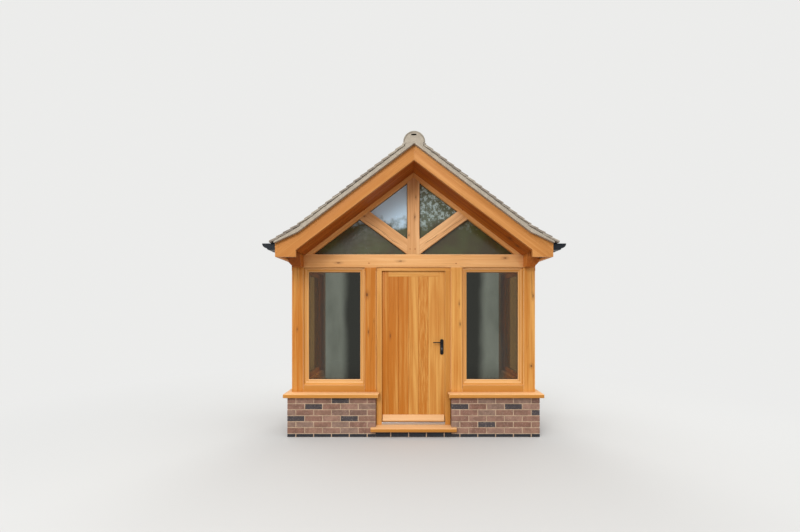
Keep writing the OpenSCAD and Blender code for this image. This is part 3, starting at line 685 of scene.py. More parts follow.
@dataclass(frozen=True)
class GableGlassFinish(GlassFinish):
    """Gable glass, which turns to a painted pale blue reflection towards the ridge and lets less light through."""

    sky: Colour = srgb(204, 234, 255)
    haze: Colour = srgb(176, 198, 196)
    sky_z: Pair = (2.66, 2.78)
    leafy_x: Pair = (-0.06, 0.06)
    cloud_span: Pair = (0.38, 0.66)
    broad: Pair = (2.6, 2.0)
    ragged: Triple = (9.0, 3.0, 0.55)
    sways: Pair = (0.4, 0.25)
    leaves: Triple = (24.0, 7.0, 0.72)
    leaf_span: Pair = (0.42, 0.53)
    leaf_share: float = 0.88

    def colours(self, bench: NodeBench) -> Socket:
        """Painted reflections over the dark tint: dark foliage below, pale blue above on the left, pale grey with
        dark foliage on the right, with soft borders.

        Args:
            bench: The material's nodes.

        Returns:
            The colour of the glass.
        """
        here = bench.here()
        parts = bench.split(here)
        broad = bench.noise(here, *self.broad)
        level = bench.sway(parts["Z"], broad, self.sways[0])
        level = bench.sway(level, bench.noise(here, *self.ragged), self.sways[1])
        # Painted reflection of foliage, laid over pale grey on the right.
        leaves = bench.steps(bench.noise(here, *self.leaves), *self.leaf_span)
        painted_foliage = bench.coats(self.haze, (leaves, self.leaf_share, self.cloud))
        above = bench.mix(bench.steps(parts["X"], *self.leafy_x), self.sky, painted_foliage)
        below = bench.mix(bench.steps(broad, *self.cloud_span), self.tint, self.cloud)
        return bench.mix(bench.steps(level, *self.sky_z), below, above)


BRICK_STOPS = (
    (0.0, srgb(156, 118, 98)), (0.2, srgb(140, 102, 86)), (0.4, srgb(162, 126, 108)), (0.6, srgb(134, 94, 78)),
    (0.75, srgb(150, 122, 106)), (0.9, srgb(124, 90, 78)), (0.95, srgb(78, 70, 72)), (1.0, srgb(66, 61, 65)))
ENGINEERING_STOPS = ((0.0, srgb(50, 54, 62)), (1.0, srgb(34, 38, 46)))
TILE_STOPS = (
    (0.0, srgb(178, 168, 152)), (0.35, srgb(162, 152, 138)), (0.7, srgb(148, 136, 124)),
    (1.0, srgb(128, 120, 112)))
RIDGE_STOPS = ((0.0, srgb(164, 155, 140)), (1.0, srgb(148, 139, 124)))


class Finishes(Enum):
    """Every finish of the porch."""

    POST = OakFinish("post oak", "oak", srgb(222, 164, 88), srgb(188, 112, 32), srgb(112, 58, 18), figure=0.3)
    BARGE = OakFinish("barge oak", "oak", srgb(213, 151, 85), srgb(190, 124, 60), srgb(120, 68, 28), checks=0.0)
    RAFTER = OakFinish("rafter oak", "oak", srgb(236, 176, 108), srgb(216, 146, 76), srgb(130, 70, 26),
                       srgb(220, 150, 84), checks=0.1)
    # Darker, redder oak for the soffit boards: partly painted shade under the overhang.
    SOFFIT = OakFinish("soffit boards", "lining_boards", srgb(200, 118, 38), srgb(156, 78, 16), srgb(80, 36, 6),
                       figure=0.4, checks=0.0, rough=0.6, rub=0.0)
    TRUSS = OakFinish("truss oak", "oak", srgb(240, 190, 136), srgb(204, 146, 90), srgb(124, 72, 32),
                      figure=0.5, checks=0.1, cracked=True)
    # Deeper, redder oak for the wall plates and the pegs; on the plate ends, which stand in the shade of the
    # bargeboard feet, it is partly painted shade.
    PLATE = OakFinish("plate oak", "oak", srgb(206, 130, 58), srgb(178, 96, 28), srgb(116, 48, 10))
    TIE = OakFinish("tie oak", "oak", srgb(236, 182, 122), srgb(220, 158, 94), srgb(124, 72, 32), checks=0.15)
    JOINERY = OakFinish("joinery oak", "oak", srgb(222, 162, 88), srgb(196, 132, 58), srgb(126, 70, 26),
                        srgb(228, 178, 124), figure=0.28, checks=0.0, rough=0.48, rub=0.6)
    PALE = OakFinish("pale oak", "door_oak", srgb(228, 180, 130), srgb(212, 156, 100), srgb(160, 104, 56),
                     srgb(226, 178, 128), figure=0.25, checks=0.0, rough=0.48)
    DOOR = OakFinish("door oak", "door_oak", srgb(218, 160, 84), srgb(186, 110, 32), srgb(122, 66, 22),
                     figure=0.42, checks=0.0, rough=0.46, rub=0.12)
    LINING = OakFinish("lining boards", "lining_boards", srgb(180, 114, 50), srgb(150, 88, 32), srgb(84, 44, 14),
                       figure=0.3, checks=0.1, rough=0.6, rub=0.0)
    BRICK = ClayFinish("multi brick", "brick", BRICK_STOPS, srgb(196, 172, 154), 0.10, 0.34)
    ENGINEERING = ClayFinish("engineering brick", "engineering_brick", ENGINEERING_STOPS, srgb(110, 112, 116),
                             0.08, 0.15, 0.55)
    TILE = ClayFinish("plain clay tile", "clay_tile", TILE_STOPS, srgb(182, 176, 158), 0.2, 0.3, 0.88)
    RIDGE = ClayFinish("ridge tile", "clay_tile", RIDGE_STOPS, srgb(186, 180, 164), 0.2, 0.3, 0.88)
    MORTAR = CementFinish("brick mortar", "mortar", srgb(200, 172, 146), srgb(172, 146, 122))
    BEDDING = CementFinish("roof bedding", "mortar", srgb(176, 166, 150), srgb(162, 152, 137))
    SCREED = CementFinish("floor screed", "floor", srgb(180, 174, 164), srgb(168, 162, 152))
    GUTTER = MetalFinish("black gutter", "black_gutter", srgb(22, 27, 34), 0.0, 0.34, 0.05, 0.18)
    IRON = MetalFinish("black iron", "black_iron", srgb(14, 13, 13), 0.0, 0.32, 0.04, 0.25)
    ALUMINIUM = MetalFinish("mill aluminium", "weather_bar", srgb(205, 206, 208), 1.0, 0.34, 0.15)
    STEEL = MetalFinish("hinge steel", "hinge_steel", srgb(190, 190, 192), 1.0, 0.3, 0.15)
    LOCK = MetalFinish("lock steel", "hinge_steel", srgb(110, 110, 112), 1.0, 0.42, 0.15)
    GASKET = MetalFinish("glazing gasket", "black_gutter", srgb(30, 26, 22), 0.0, 0.6, 0.1, 0.2)
    # The second colour of each glass is a painted reflection.
    PANE = GlassFinish("window glass", "glass", srgb(114, 119, 108), srgb(94, 99, 88))
    GABLE = GableGlassFinish("gable glass", "glass", srgb(70, 62, 34), srgb(76, 80, 42), 0.38, 0.2, 0.7)

    def material(self) -> bpy.types.Material:
        """Material of this finish."""
        return self.value.material()


def islands(mesh: BMesh) -> list[list[BMVert]]:
    """Group the vertices of a mesh by the separate solids they belong to.

    Args:
        mesh: The mesh to look through.

    Returns:
        The vertices of each solid, in the order the solids were made.
    """
    seen: set[int] = set()
    groups: list[list[BMVert]] = []
    mesh.verts.index_update()
    for start in mesh.verts:
        if start.index in seen:
            continue
        seen.add(start.index)
        group, queue = [], [start]
        while queue:
            vert = queue.pop()
            group.append(vert)
            for edge in vert.link_edges:
                other = edge.other_vert(vert)
                if other.index not in seen:
                    seen.add(other.index)
                    queue.append(other)
        groups.append(group)
    return groups


def ease(mesh: BMesh, width: float, segments: int = 2, sharp: float = 25.0) -> None:
    """Round the sharp edges of a mesh.

    Args:
        mesh: The mesh to change.
        width: Width of the rounding in metres.
        segments: Number of strips in the rounding.
        sharp: Least angle in degrees between the two faces of a rounded edge.
    """
    limit = math.radians(sharp)
    edges = [e for e in mesh.edges if len(e.link_faces) == 2 and e.calc_face_angle(0.0) > limit]
    bmesh.ops.bevel(mesh, geom=edges, offset=width, offset_type="OFFSET", segments=segments, profile=0.5,
                    affect="EDGES", material=-1, clamp_overlap=True)


def cut(mesh: BMesh, point: Vector, normal: Vector, **clear: bool) -> None:
    """Divide the faces of a mesh along a plane, and leave them joined unless one side is cleared."""
    bmesh.ops.bisect_plane(mesh, geom=mesh.verts[:] + mesh.edges[:] + mesh.faces[:], dist=1e-6,
                           plane_co=point, plane_no=normal, **clear)


def score(mesh: BMesh, point: Vector, normal: Vector, push: Vector, half: float,
          wanted: Callable[[Vector], bool]) -> None:
    """Press a V joint between two boards into one side of a mesh.

    Args:
        mesh: The mesh to change.
        point: A point in the middle of the joint.
        normal: Direction across the joint.
        push: How far the middle of the joint moves into the wood.
        half: Half width of the joint.
        wanted: Says whether a vertex lies on the side that takes the joint.
    """
    for step in (-half, 0.0, half):
        cut(mesh, point + normal * step, normal)
    for vert in mesh.verts:
        if abs((vert.co - point).dot(normal)) < TOUCH and wanted(vert.co):
            vert.co += push


def push_out(mesh: BMesh, faces: list[BMFace]) -> list[BMVert]:
    """Extrude faces in place, and return the new vertices, which are still to be moved."""
    moved = bmesh.ops.extrude_face_region(mesh, geom=faces)["geom"]
    return [v for v in moved if isinstance(v, BMVert)]


def prism(mesh: BMesh, outline: Iterable[Pair], near: float, far: float) -> None:
    """Add a solid that runs along Y from an outline in X and Z.

    Args:
        mesh: The mesh that takes the solid.
        outline: Corners in X and Z, in order.
        near: Lowest Y.
        far: Highest Y.
    """
    face = mesh.faces.new([mesh.verts.new((x, near, z)) for x, z in outline])
    bmesh.ops.translate(mesh, verts=push_out(mesh, [face]), vec=(0.0, far - near, 0.0))
    bmesh.ops.recalc_face_normals(mesh, faces=mesh.faces[:])


def slab(mesh: BMesh, low: Iterable[float], high: Iterable[float], turn: Matrix = Matrix.Identity(4)) -> None:
    """Add a box.

    Args:
        mesh: The mesh that takes the box.
        low: Lowest corner.
        high: Highest corner.
        turn: A transform applied after the box is in place.
    """
    low, high = Vector(low), Vector(high)
    place = Matrix.Translation((low + high) / 2) @ Matrix.Diagonal((*(high - low), 1.0))
    bmesh.ops.create_cube(mesh, size=1.0, matrix=turn @ place)


def mesh_data(name: str, mesh: BMesh) -> bpy.types.Mesh:
    """Turn a mesh, which is used up, into mesh data."""
    data = bpy.data.meshes.new(name)
    mesh.to_mesh(data)
    mesh.free()
    return data


def place_object(name: str, data: bpy.types.ID) -> bpy.types.Object:
    """Put mesh, lamp or camera data into the scene as a new object."""
    made = bpy.data.objects.new(name, data)
    bpy.context.scene.collection.objects.link(made)
    return made


class Workshop:
    """Takes copies of the construction nodes and puts finished pieces into the scene."""

    pith_along: Pair = (0, 40)
    pith_side: Pair = (-0.12, 0.12)
    pith_depth: Pair = (0.05, 0.16)
    end_grain: float = 0.8
    flat: float = 0.6
    end_facing: float = 0.6
    top_facing: float = 0.5
    square_facing: float = 0.96
    # Share of the paler colour on upward faces: painted highlight as if lit from above, with some sun bleaching.
    rubbed_top: float = 2.2

    def __init__(self, frame: dict[str, object], seed: int = 11) -> None:
        self.nodes = frame["nodes"]
        self.dice = random.Random(seed)

    def copy(self, name: str) -> BMesh:
        """Return a copy of a node, without doubled corners or flat inner edges."""
        mesh = bmesh.new()
        mesh.from_mesh(self.nodes[name].data)
        bmesh.ops.remove_doubles(mesh, verts=mesh.verts[:], dist=TOUCH)
        bmesh.ops.dissolve_limit(mesh, angle_limit=math.radians(self.flat), verts=mesh.verts[:],
                                 edges=mesh.edges[:])
        return mesh

    def lay_grain(self, mesh: BMesh, sorter: Sorter | None = None, tones: Tones | None = None) -> None:
        """Store the grain position and the tone of every corner.

        Args:
            mesh: The mesh to mark.
            sorter: Gives a face's member name and grain direction from its centre. The grain runs along the
                longest side of each solid if it is left out.
            tones: Gives the tone of a member from the number of its solid and its name.
        """
        layers = (mesh.loops.layers.float_vector.new("grain"), mesh.loops.layers.float.new("tone"),
                  mesh.loops.layers.float.new("edge"))
        mesh.faces.index_update()
        mesh.normal_update()
        for number, group in enumerate(islands(mesh)):
            spans = [(max(v.co[i] for v in group) - min(v.co[i] for v in group), i) for i in range(3)]
            longest = (ACROSS, ALONG, UP)[max(spans)[1]]
            members: dict[str, list[BMFace]] = {}
            runs: dict[str, Vector] = {}
            for face in sorted({f for v in group for f in v.link_faces}, key=lambda f: f.index):
                name, run = sorter(face.calc_center_median()) if sorter else ("", longest)
                members.setdefault(name, []).append(face)
                runs[name] = run
            for name, faces in members.items():
                self.mark(faces, runs[name], tones(number, name) if tones else self.dice.random(), layers)

    def mark(self, faces: list[BMFace], run: Vector, shade: float, layers: tuple[object, object, object]) -> None:
        """Mark the faces of one member, from a pith that lies beside its own centre.

        Args:
            faces: The member's faces.
            run: Direction of its grain.
            shade: Its tone.
            layers: The layers for the grain, the tone and the painted highlight with wear on arrises and upward
                faces.
        """
        grain, tone, edge = layers
        side = run.cross(ALONG if abs(run.y) < 0.9 else UP).normalized()
        lift = run.cross(side)
        spots = [corner.vert.co for face in faces for corner in face.loops]
        centre = sum(spots, Vector()) / len(spots)
        along, beside = self.dice.uniform(*self.pith_along), self.dice.uniform(*self.pith_side)
        pith = Vector((along, beside, self.dice.choice((-1, 1)) * self.dice.uniform(*self.pith_depth)))
        for face in faces:
            square = max(abs(face.normal.dot(way)) for way in (run, side, lift))
            ends = self.end_grain if abs(face.normal.dot(run)) > self.end_facing else 0.0
            # Eased arrises take a share of the paler colour and upward faces a larger one: painted highlight with
            # some wear.
            rubbed_and_lit = 0.0 if square > self.square_facing or ends else 1.0
            rubbed_and_lit = self.rubbed_top if face.normal.z > self.top_facing else rubbed_and_lit
            for corner in face.loops:
                spot = corner.vert.co - centre
                corner[grain] = pith + Vector((spot.dot(run), spot.dot(side), spot.dot(lift)))
                corner[tone] = shade + ends
                corner[edge] = rubbed_and_lit

    def lay_tones(self, mesh: BMesh, tones: list[float] | None = None) -> None:
        """Store one tone for each separate solid.

        Args:
            mesh: The mesh to mark.
            tones: A tone for each solid, in the order they were made; seeded ones if left out.
        """
        layer = mesh.loops.layers.float.new("tone")
        for number, group in enumerate(islands(mesh)):
            shade = tones[number] if tones else self.dice.random()
            for corner in (corner for vert in group for corner in vert.link_loops):
                corner[layer] = shade

    def publish(self, name: str, mesh: BMesh, finish: Finishes, body: str = "porch",
                replaces: Iterable[str] = (), smooth: float = 0.0) -> bpy.types.Object:
        """Turn a mesh into a piece of the porch.

        Args:
            name: Name of the piece.
            mesh: Its mesh, which is used up.
            finish: Its finish.
            body: The body it moves with.
            replaces: Nodes that it stands for.
            smooth: Greatest angle in degrees that is shaded smooth.

        Returns:
            The new object.
        """
        data = mesh_data(name, mesh)
        data.materials.append(finish.material())
        if smooth:
            data.polygons.foreach_set("use_smooth", [True] * len(data.polygons))
            data.set_sharp_from_angle(angle=math.radians(smooth))
        piece = place_object(name, data)
        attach(piece, body)
        if replaces:
            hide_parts(*replaces)
        LOG.info("piece %s: %d faces", name, len(data.polygons))
        return piece

    def timber(self, node: str, name: str, finish: Finishes, arris: float, sorter: Sorter | None = None,
               tones: Tones | None = None, mesh: BMesh | None = None, body: str = "porch",
               smooth: float = 40.0) -> None:
        """Dress one node as wood.

        Args:
            node: The node.
            name: Name of the piece.
            finish: Its finish.
            arris: Width of its rounded edges; zero leaves them sharp and the piece shaded flat.
            sorter: Gives members and grain directions, as for lay_grain.
            tones: Gives the tones of the members, as for lay_grain.
            mesh: A copy of the node with cuts or joints in it; a plain one if left out.
            body: The body it moves with.
            smooth: Greatest angle in degrees that is shaded smooth.
        """
        mesh = self.copy(node) if mesh is None else mesh
        if arris:
            ease(mesh, arris)
        self.lay_grain(mesh, sorter, tones)
        self.publish(name, mesh, finish, body, [node], smooth if arris else 0.0)


@dataclass
class OakFrame:
    """Posts, rails, plates and the gable truss."""

    shop: Workshop
    strut: float = math.radians(36.3)
    arris: float = 0.0022
    peg: Pair = (0.009, 0.00774)
    peg_arris: float = 0.0012
    peg_length: float = 0.018
    peg_proud: float = 0.006
    pegs_at: tuple[Pair, ...] = (
        (-0.044, 2.366), (0.020, 2.366), (-0.562, 2.186), (0.538, 2.184), (-1.452, 2.19), (1.452, 2.19),
        (-0.62, 2.86), (0.62, 2.86))
    usual_depth: float = 0.4
    depth_spread: float = 0.12
    depths: dict[str, float] = field(default_factory=lambda: {
        "left": 0.7, "right": 0.15, "door_post_left": 0.95, "front": 1.15, "side": 0.9})

    def member(self, node: str, finish: Finishes = Finishes.POST, sorter: Sorter | None = None,
               mesh: BMesh | None = None) -> None:
        """Dress one node as solid oak, deeper in tone on the left than on the right.

        Args:
            node: The node.
            finish: Its finish.
            sorter: Gives members and grain directions, as for lay_grain.
            mesh: A changed copy of the node, or None for a plain one.
        """
        def depth(number: int, name: str) -> float:
            """Tone of a member."""
            known = self.depths.get(name or node, self.depths.get(node.split("_")[-1], self.usual_depth))
            return known + self.shop.dice.uniform(-self.depth_spread, self.depth_spread)

        self.shop.timber(node, f"oak_{node}", finish, self.arris, sorter, depth, mesh)

    def rails(self) -> None:
        """Bottom rails, whose side runs are parted from the front ones where they meet in one line."""
        def around(spot: Vector) -> tuple[str, Vector]:
            """Member name and grain direction of a rail that runs across the front or along a side."""
            return ("front", ACROSS) if spot.y < INNER_Y - 0.001 else ("side", ALONG)

        mesh = self.shop.copy("bottom_rails")
        side = [f for f in mesh.faces
                if all(abs(v.co.x) > POST_IN - NEAR and v.co.y > INNER_Y - NEAR for v in f.verts)]
        bmesh.ops.split(mesh, geom=side)
        self.member("bottom_rails", Finishes.JOINERY, around, mesh)

    def falling(self, angle: float, sign: float) -> Sorter:
        """Grain that runs down and outwards on both sides of the centre line, or up and outwards.

        Args:
            angle: Slope in radians.
            sign: Minus one where the member falls outwards.

        Returns:
            A sorter for lay_grain.
        """
        def sort(spot: Vector) -> tuple[str, Vector]:
            """Member name and direction at a spot."""
            way = 1.0 if spot.x > 0 else -1.0
            return ("right" if way > 0 else "left"), Vector((way * math.cos(angle), 0.0, sign * math.sin(angle)))

        return sort

    def build(self) -> None:
        """Make every oak member and its pegs."""
        for node in ("corner_post_left", "corner_post_right", "door_post_left", "door_post_right", "wall_posts"):
            self.member(node)
        self.rails()
        for node, finish in (("wall_plate_left", Finishes.PLATE), ("wall_plate_right", Finishes.PLATE),
                             ("tie_beam", Finishes.TIE), ("king_post", Finishes.TRUSS)):
            self.member(node, finish)
        for side, _ in SIDES:
            self.member(f"rafter_{side}", Finishes.RAFTER, self.falling(PITCH, -1.0))
        self.member("struts", Finishes.TRUSS, self.falling(self.strut, 1.0))
        self.pegs()

    def pegs(self) -> None:
        """Oak pegs through the tenons of the king post, the door posts and the struts."""
        mesh = bmesh.new()
        for x, z in self.pegs_at:
            turn = Matrix.Translation((x, FRAME_Y + self.peg_proud, z)) @ Matrix.Rotation(math.pi / 2, 4, "X")
            bmesh.ops.create_cone(mesh, cap_ends=True, segments=14, radius1=self.peg[0], radius2=self.peg[1],
                                  depth=self.peg_length, matrix=turn)
        ease(mesh, self.peg_arris)
        self.shop.lay_grain(mesh, tones=lambda number, name: 1.0)
        self.shop.publish("oak_pegs", mesh, Finishes.PLATE)


@dataclass
class Brickwork:
    """Plinth walls and door step in stretcher bond."""

    shop: Workshop
    course: float = 0.075
    joint: float = 0.010
    stretcher: float = 0.2138
    leaf: float = 0.1025
    foot: float = 0.002
    first: float = 0.050
    top: float = 0.500
    step_tops: Pair = (0.067, 0.077)
    front: float = -0.455
    back: float = -0.240
    out: float = 1.584
    pier_in: float = 0.475
    recess: float = 0.0035
    core_lap: float = 0.02
    proud: Pair = (0.0015, 0.001)
    step_first: float = 0.86
    arris: float = 0.0022
    shortest: float = 0.02
    dark_share: float = 0.08
    dark_tone: float = 1.0
    engineering_tone: float = 2.0
    usual_tones: tuple[float, ...] = (0.82, 0.82, 0.9)
    dark: tuple[tuple[str, int, int], ...] = (
        ("left", 1, 3), ("left", 2, 1), ("left", 4, 0), ("left", 4, 3),
        ("right", 2, 1), ("right", 3, 0), ("right", 5, 3), ("right", 2, 4))

    def brick(self, mesh: BMesh, tones: list[float], x: Pair, y: Pair, z: Pair, tone: float | None) -> None:
        """Add one brick, slightly out of true.

        Args:
            mesh: The mesh of the wall.
            tones: Takes the brick's tone.
            x: Its ends along X, in order.
            y: Its ends along Y.
            z: Bottom and top.
            tone: Tone of the brick, or None for a seeded one.
        """
        dice = self.shop.dice
        shy = [dice.uniform(0.0, self.proud[0]) for _ in range(4)]
        low, high = (Vector(corner) for corner in zip(x, y, z))
        sunk = dice.uniform(0.0, self.proud[1])
        slab(mesh, low + Vector((shy[0], shy[1], 0.0)), high - Vector((shy[2], shy[3], sunk)))
        tones.append(dice.choice([dice.uniform(0.0, most) for most in self.usual_tones]) if tone is None else tone)

    def run(self, start: float, end: float, first: float) -> list[Pair]:
        """Divide a length into bricks.

        Args:
            start: Where the run starts.
            end: Where it ends.
            first: Length of the first brick.

        Returns:
            Start and end of each brick.
        """
        spans, place, length = [], start, first
        while place < end - self.shortest:
            stop = min(place + length, end)
            if end - stop < self.shortest + self.joint:
                stop = end
            spans.append((place, stop))
            place, length = stop + self.joint, self.stretcher
        return spans

    def courses(self) -> list[tuple[int, Pair]]:
        """Number of each course, counted from the top, with its bottom and top, and the low one at the end."""
        count = round((self.top - self.first) / self.course)
        floors = [self.first + i * self.course for i in range(count + 1)]
        usual = [(count - i, (floors[i], floors[i + 1] - self.joint)) for i in range(count)]
        return usual + [(count + 1, (self.foot, self.first - self.joint))]

    def side(self, name: str, sign: float) -> None:
        """Build the pier and side wall of one side.

        Args:
            name: Either left or right.
            sign: Minus one on the left.
        """
        half = (self.stretcher - self.joint) / 2
        mesh, tones = bmesh.new(), []

        def lay(x: Pair, y: Pair, z: Pair, tone: float | None) -> None:
            """Lay a brick given for the right-hand side."""
            self.brick(mesh, tones, tuple(sorted((sign * x[0], sign * x[1]))), y, z, tone)

        for number, z in self.courses():
            odd = number % 2 == 1
            tone = self.engineering_tone if z[0] < self.first else None
            starts = (half, self.stretcher) if odd else (self.stretcher, half)
            for index, (a, b) in enumerate(self.run(0.0, self.out - self.pier_in, starts[0])):
                chosen = self.dark_tone if (name, number, index) in self.dark and tone is None else tone
                lay((self.out - b, self.out - a), (self.front, self.front + self.leaf), z, chosen)
                lay((self.out - b, self.out - a), (self.back - self.leaf, self.back), z, tone)
            for span in self.run(self.front + self.leaf + self.joint, WALL_Y, starts[1]):
                wild = tone if tone is not None or self.shop.dice.random() > self.dark_share else self.dark_tone
                lay((self.out - self.leaf, self.out), span, z, wild)
                if span[0] > self.back:
                    lay((self.out - self.stretcher, self.out - self.leaf - self.joint), span, z, tone)
        self.publish_bricks(f"brickwork_{name}", mesh, tones, f"plinth_{name}")
        core = bmesh.new()
        for inside, near, far in ((self.pier_in, self.front + self.recess, self.back - self.recess),
                                  (self.out - self.stretcher, self.back - self.core_lap, WALL_Y - self.recess)):
            xs = sorted((sign * (inside + self.recess), sign * (self.out - self.recess)))
            slab(core, (xs[0], near, 0.0), (xs[1], far, self.top))
        self.shop.publish(f"mortar_{name}", core, Finishes.MORTAR)

    def publish_bricks(self, name: str, mesh: BMesh, tones: list[float], node: str) -> None:
        """Publish a wall, where bricks with the engineering tone take a finish of their own.

        Args:
            name: Name of the piece.
            mesh: The bricks.
            tones: Their tones.
            node: The node that the wall stands for.
        """
        ease(mesh, self.arris, 1)
        self.shop.lay_tones(mesh, [min(tone, 1.0) for tone in tones])
        for tone, group in zip(tones, islands(mesh)):
            for face in {f for v in group for f in v.link_faces}:
                face.material_index = int(tone == self.engineering_tone)
        piece = self.shop.publish(name, mesh, Finishes.BRICK, replaces=[node])
        piece.data.materials.append(Finishes.ENGINEERING.material())

    def step(self) -> None:
        """Engineering bricks under the door sill."""
        mesh, tones = bmesh.new(), []
        for span in self.run(-self.pier_in, self.pier_in, self.stretcher * self.step_first):
            for depth in ((self.front, self.front + self.leaf), (self.back - self.leaf, self.back)):
                self.brick(mesh, tones, span, depth, (self.foot, self.step_tops[0]), self.engineering_tone)
        self.publish_bricks("step_bricks", mesh, tones, "step_course")
        core = bmesh.new()
        slab(core, (-self.pier_in, self.front + self.recess, 0.0),
             (self.pier_in, self.back - self.recess, self.step_tops[1]))
        self.shop.publish("step_mortar", core, Finishes.MORTAR)

    def build(self) -> None:
        """Build both sides and the step."""
        for name, sign in SIDES:
            self.side(name, sign)
        self.step()


@dataclass
class Windows:
    """Sills, window frames and glass."""

    shop: Workshop
    frame_half: float = 1.540
    door_post_out: float = 0.620
    wall_post: float = 0.775
    rail_z: float = 0.645
    plate_z: float = 2.134
    sill_arris: float = 0.0018
    arris: float = 0.0012
    pane_arris: float = 0.0006
    groove: float = 0.013
    groove_half: float = 0.0078
    face_skin: float = 0.002
    gasket: float = 0.0012
    gasket_width: float = 0.0155
    gable_gasket_width: float = 0.007
    pane_area: float = 0.05
    stile_tone: float = 0.4
    tone_spread: float = 0.3
    # Painted shade on the head, which sits under the tie beam, and painted highlight on the bottom rail, which
    # faces the light from above.
    rail_tones: dict[str, float] = field(default_factory=lambda: {"top": 1.0, "bottom": 0.1})

    def sills(self) -> None:
        """Moulded sills whose grain turns at the mitre."""
        def sort(spot: Vector) -> tuple[str, Vector]:
            """Front or side run at a spot."""
            front = FRAME_Y - spot.y > abs(spot.x) - self.frame_half
            return ("front", ACROSS) if front else ("side", ALONG)

        for side, _ in SIDES:
            self.shop.timber(f"window_sill_{side}", f"sill_{side}", Finishes.JOINERY, self.sill_arris, sort)

    def light(self, place: str, low: float, high: float, axis: int) -> None:
        """Dress one window frame as four mitred members, with a shadow groove under its head.

        Args:
            place: End of the names of the frame's node and piece.
            low: Lowest place of the frame along its width.
            high: Highest place along its width.
            axis: Zero where the width runs along X, and one along Y.
        """
        mesh = self.shop.copy(f"window_frame_{place}")
        run = (ACROSS, ALONG)[axis]
        for end, lean in ((low, 1.0), (high, -1.0)):
            for level, rise in ((self.rail_z, 1.0), (self.plate_z, -1.0)):
                cut(mesh, run * end + UP * level, (run * rise - UP * lean).normalized())

        def sort(spot: Vector) -> tuple[str, Vector]:
            """Stile or rail at a spot."""
            gaps = {"left": spot[axis] - low, "right": high - spot[axis],
                    "bottom": spot.z - self.rail_z, "top": self.plate_z - spot.z}
            name = min(gaps, key=gaps.get)
            return name, UP if name in ("left", "right") else run

        def tone(number: int, name: str) -> float:
            """Tone of a member, with painted shade on the head and painted highlight on the bottom rail."""
            return self.rail_tones.get(name, self.stile_tone) + self.tone_spread * self.shop.dice.random()

        outward = Vector((math.copysign(1.0, mesh.verts[:][0].co.x), 0, 0)) if axis else -ALONG
        face = max(vert.co.dot(outward) for vert in mesh.verts)
        score(mesh, UP * (self.plate_z - self.groove), UP, outward * -self.groove, self.groove_half,
              lambda spot: spot.dot(outward) > face - self.face_skin)
        self.shop.timber(f"window_frame_{place}", f"light_{place}", Finishes.JOINERY, self.arris, sort, tone,
                         mesh, smooth=35)

    def glass(self, node: str, finish: Finishes, width: float) -> None:
        """Dress sealed units, with gaskets around their outer and inner faces.

        Args:
            node: The node of the units.
            finish: Their finish.
            width: Width of the gaskets.
        """
        pane = self.shop.copy(node)
        ease(pane, self.pane_arris, 1)
        self.shop.publish(f"{node}_units", pane, finish, replaces=[node])
        strip = self.shop.copy(node)
        faces = [f for f in strip.faces if f.calc_area() > self.pane_area and f.normal.z ** 2 < 0.1]
        bmesh.ops.delete(strip, geom=[f for f in strip.faces if f not in faces], context="FACES")
        bmesh.ops.inset_region(strip, faces=strip.faces[:], thickness=width, use_even_offset=True,
                               use_boundary=True)
        inner = sorted(strip.faces, key=lambda f: -f.calc_area())[:len(faces)]
        bmesh.ops.delete(strip, geom=inner, context="FACES")
        for face in strip.faces:
            face.normal_update()
        for vert in push_out(strip, strip.faces[:]):
            normals = [f.normal for f in vert.link_faces if abs(f.normal.length - 1.0) < 0.01]
            vert.co += max(normals, key=lambda n: abs(n.x) + abs(n.y)) * self.gasket
        bmesh.ops.recalc_face_normals(strip, faces=strip.faces[:])
        self.shop.publish(f"{node}_gaskets", strip, Finishes.GASKET)

    def build(self) -> None:
        """Make the sills, frames and glass."""
        self.sills()
        self.light("front_left", -POST_IN, -self.door_post_out, 0)
        self.light("front_right", self.door_post_out, POST_IN, 0)
        self.light("side_left", INNER_Y, self.wall_post, 1)
        self.light("side_right", INNER_Y, self.wall_post, 1)
        self.glass("window_glass", Finishes.PANE, self.gasket_width)
        self.glass("gable_glass", Finishes.GABLE, self.gable_gasket_width)


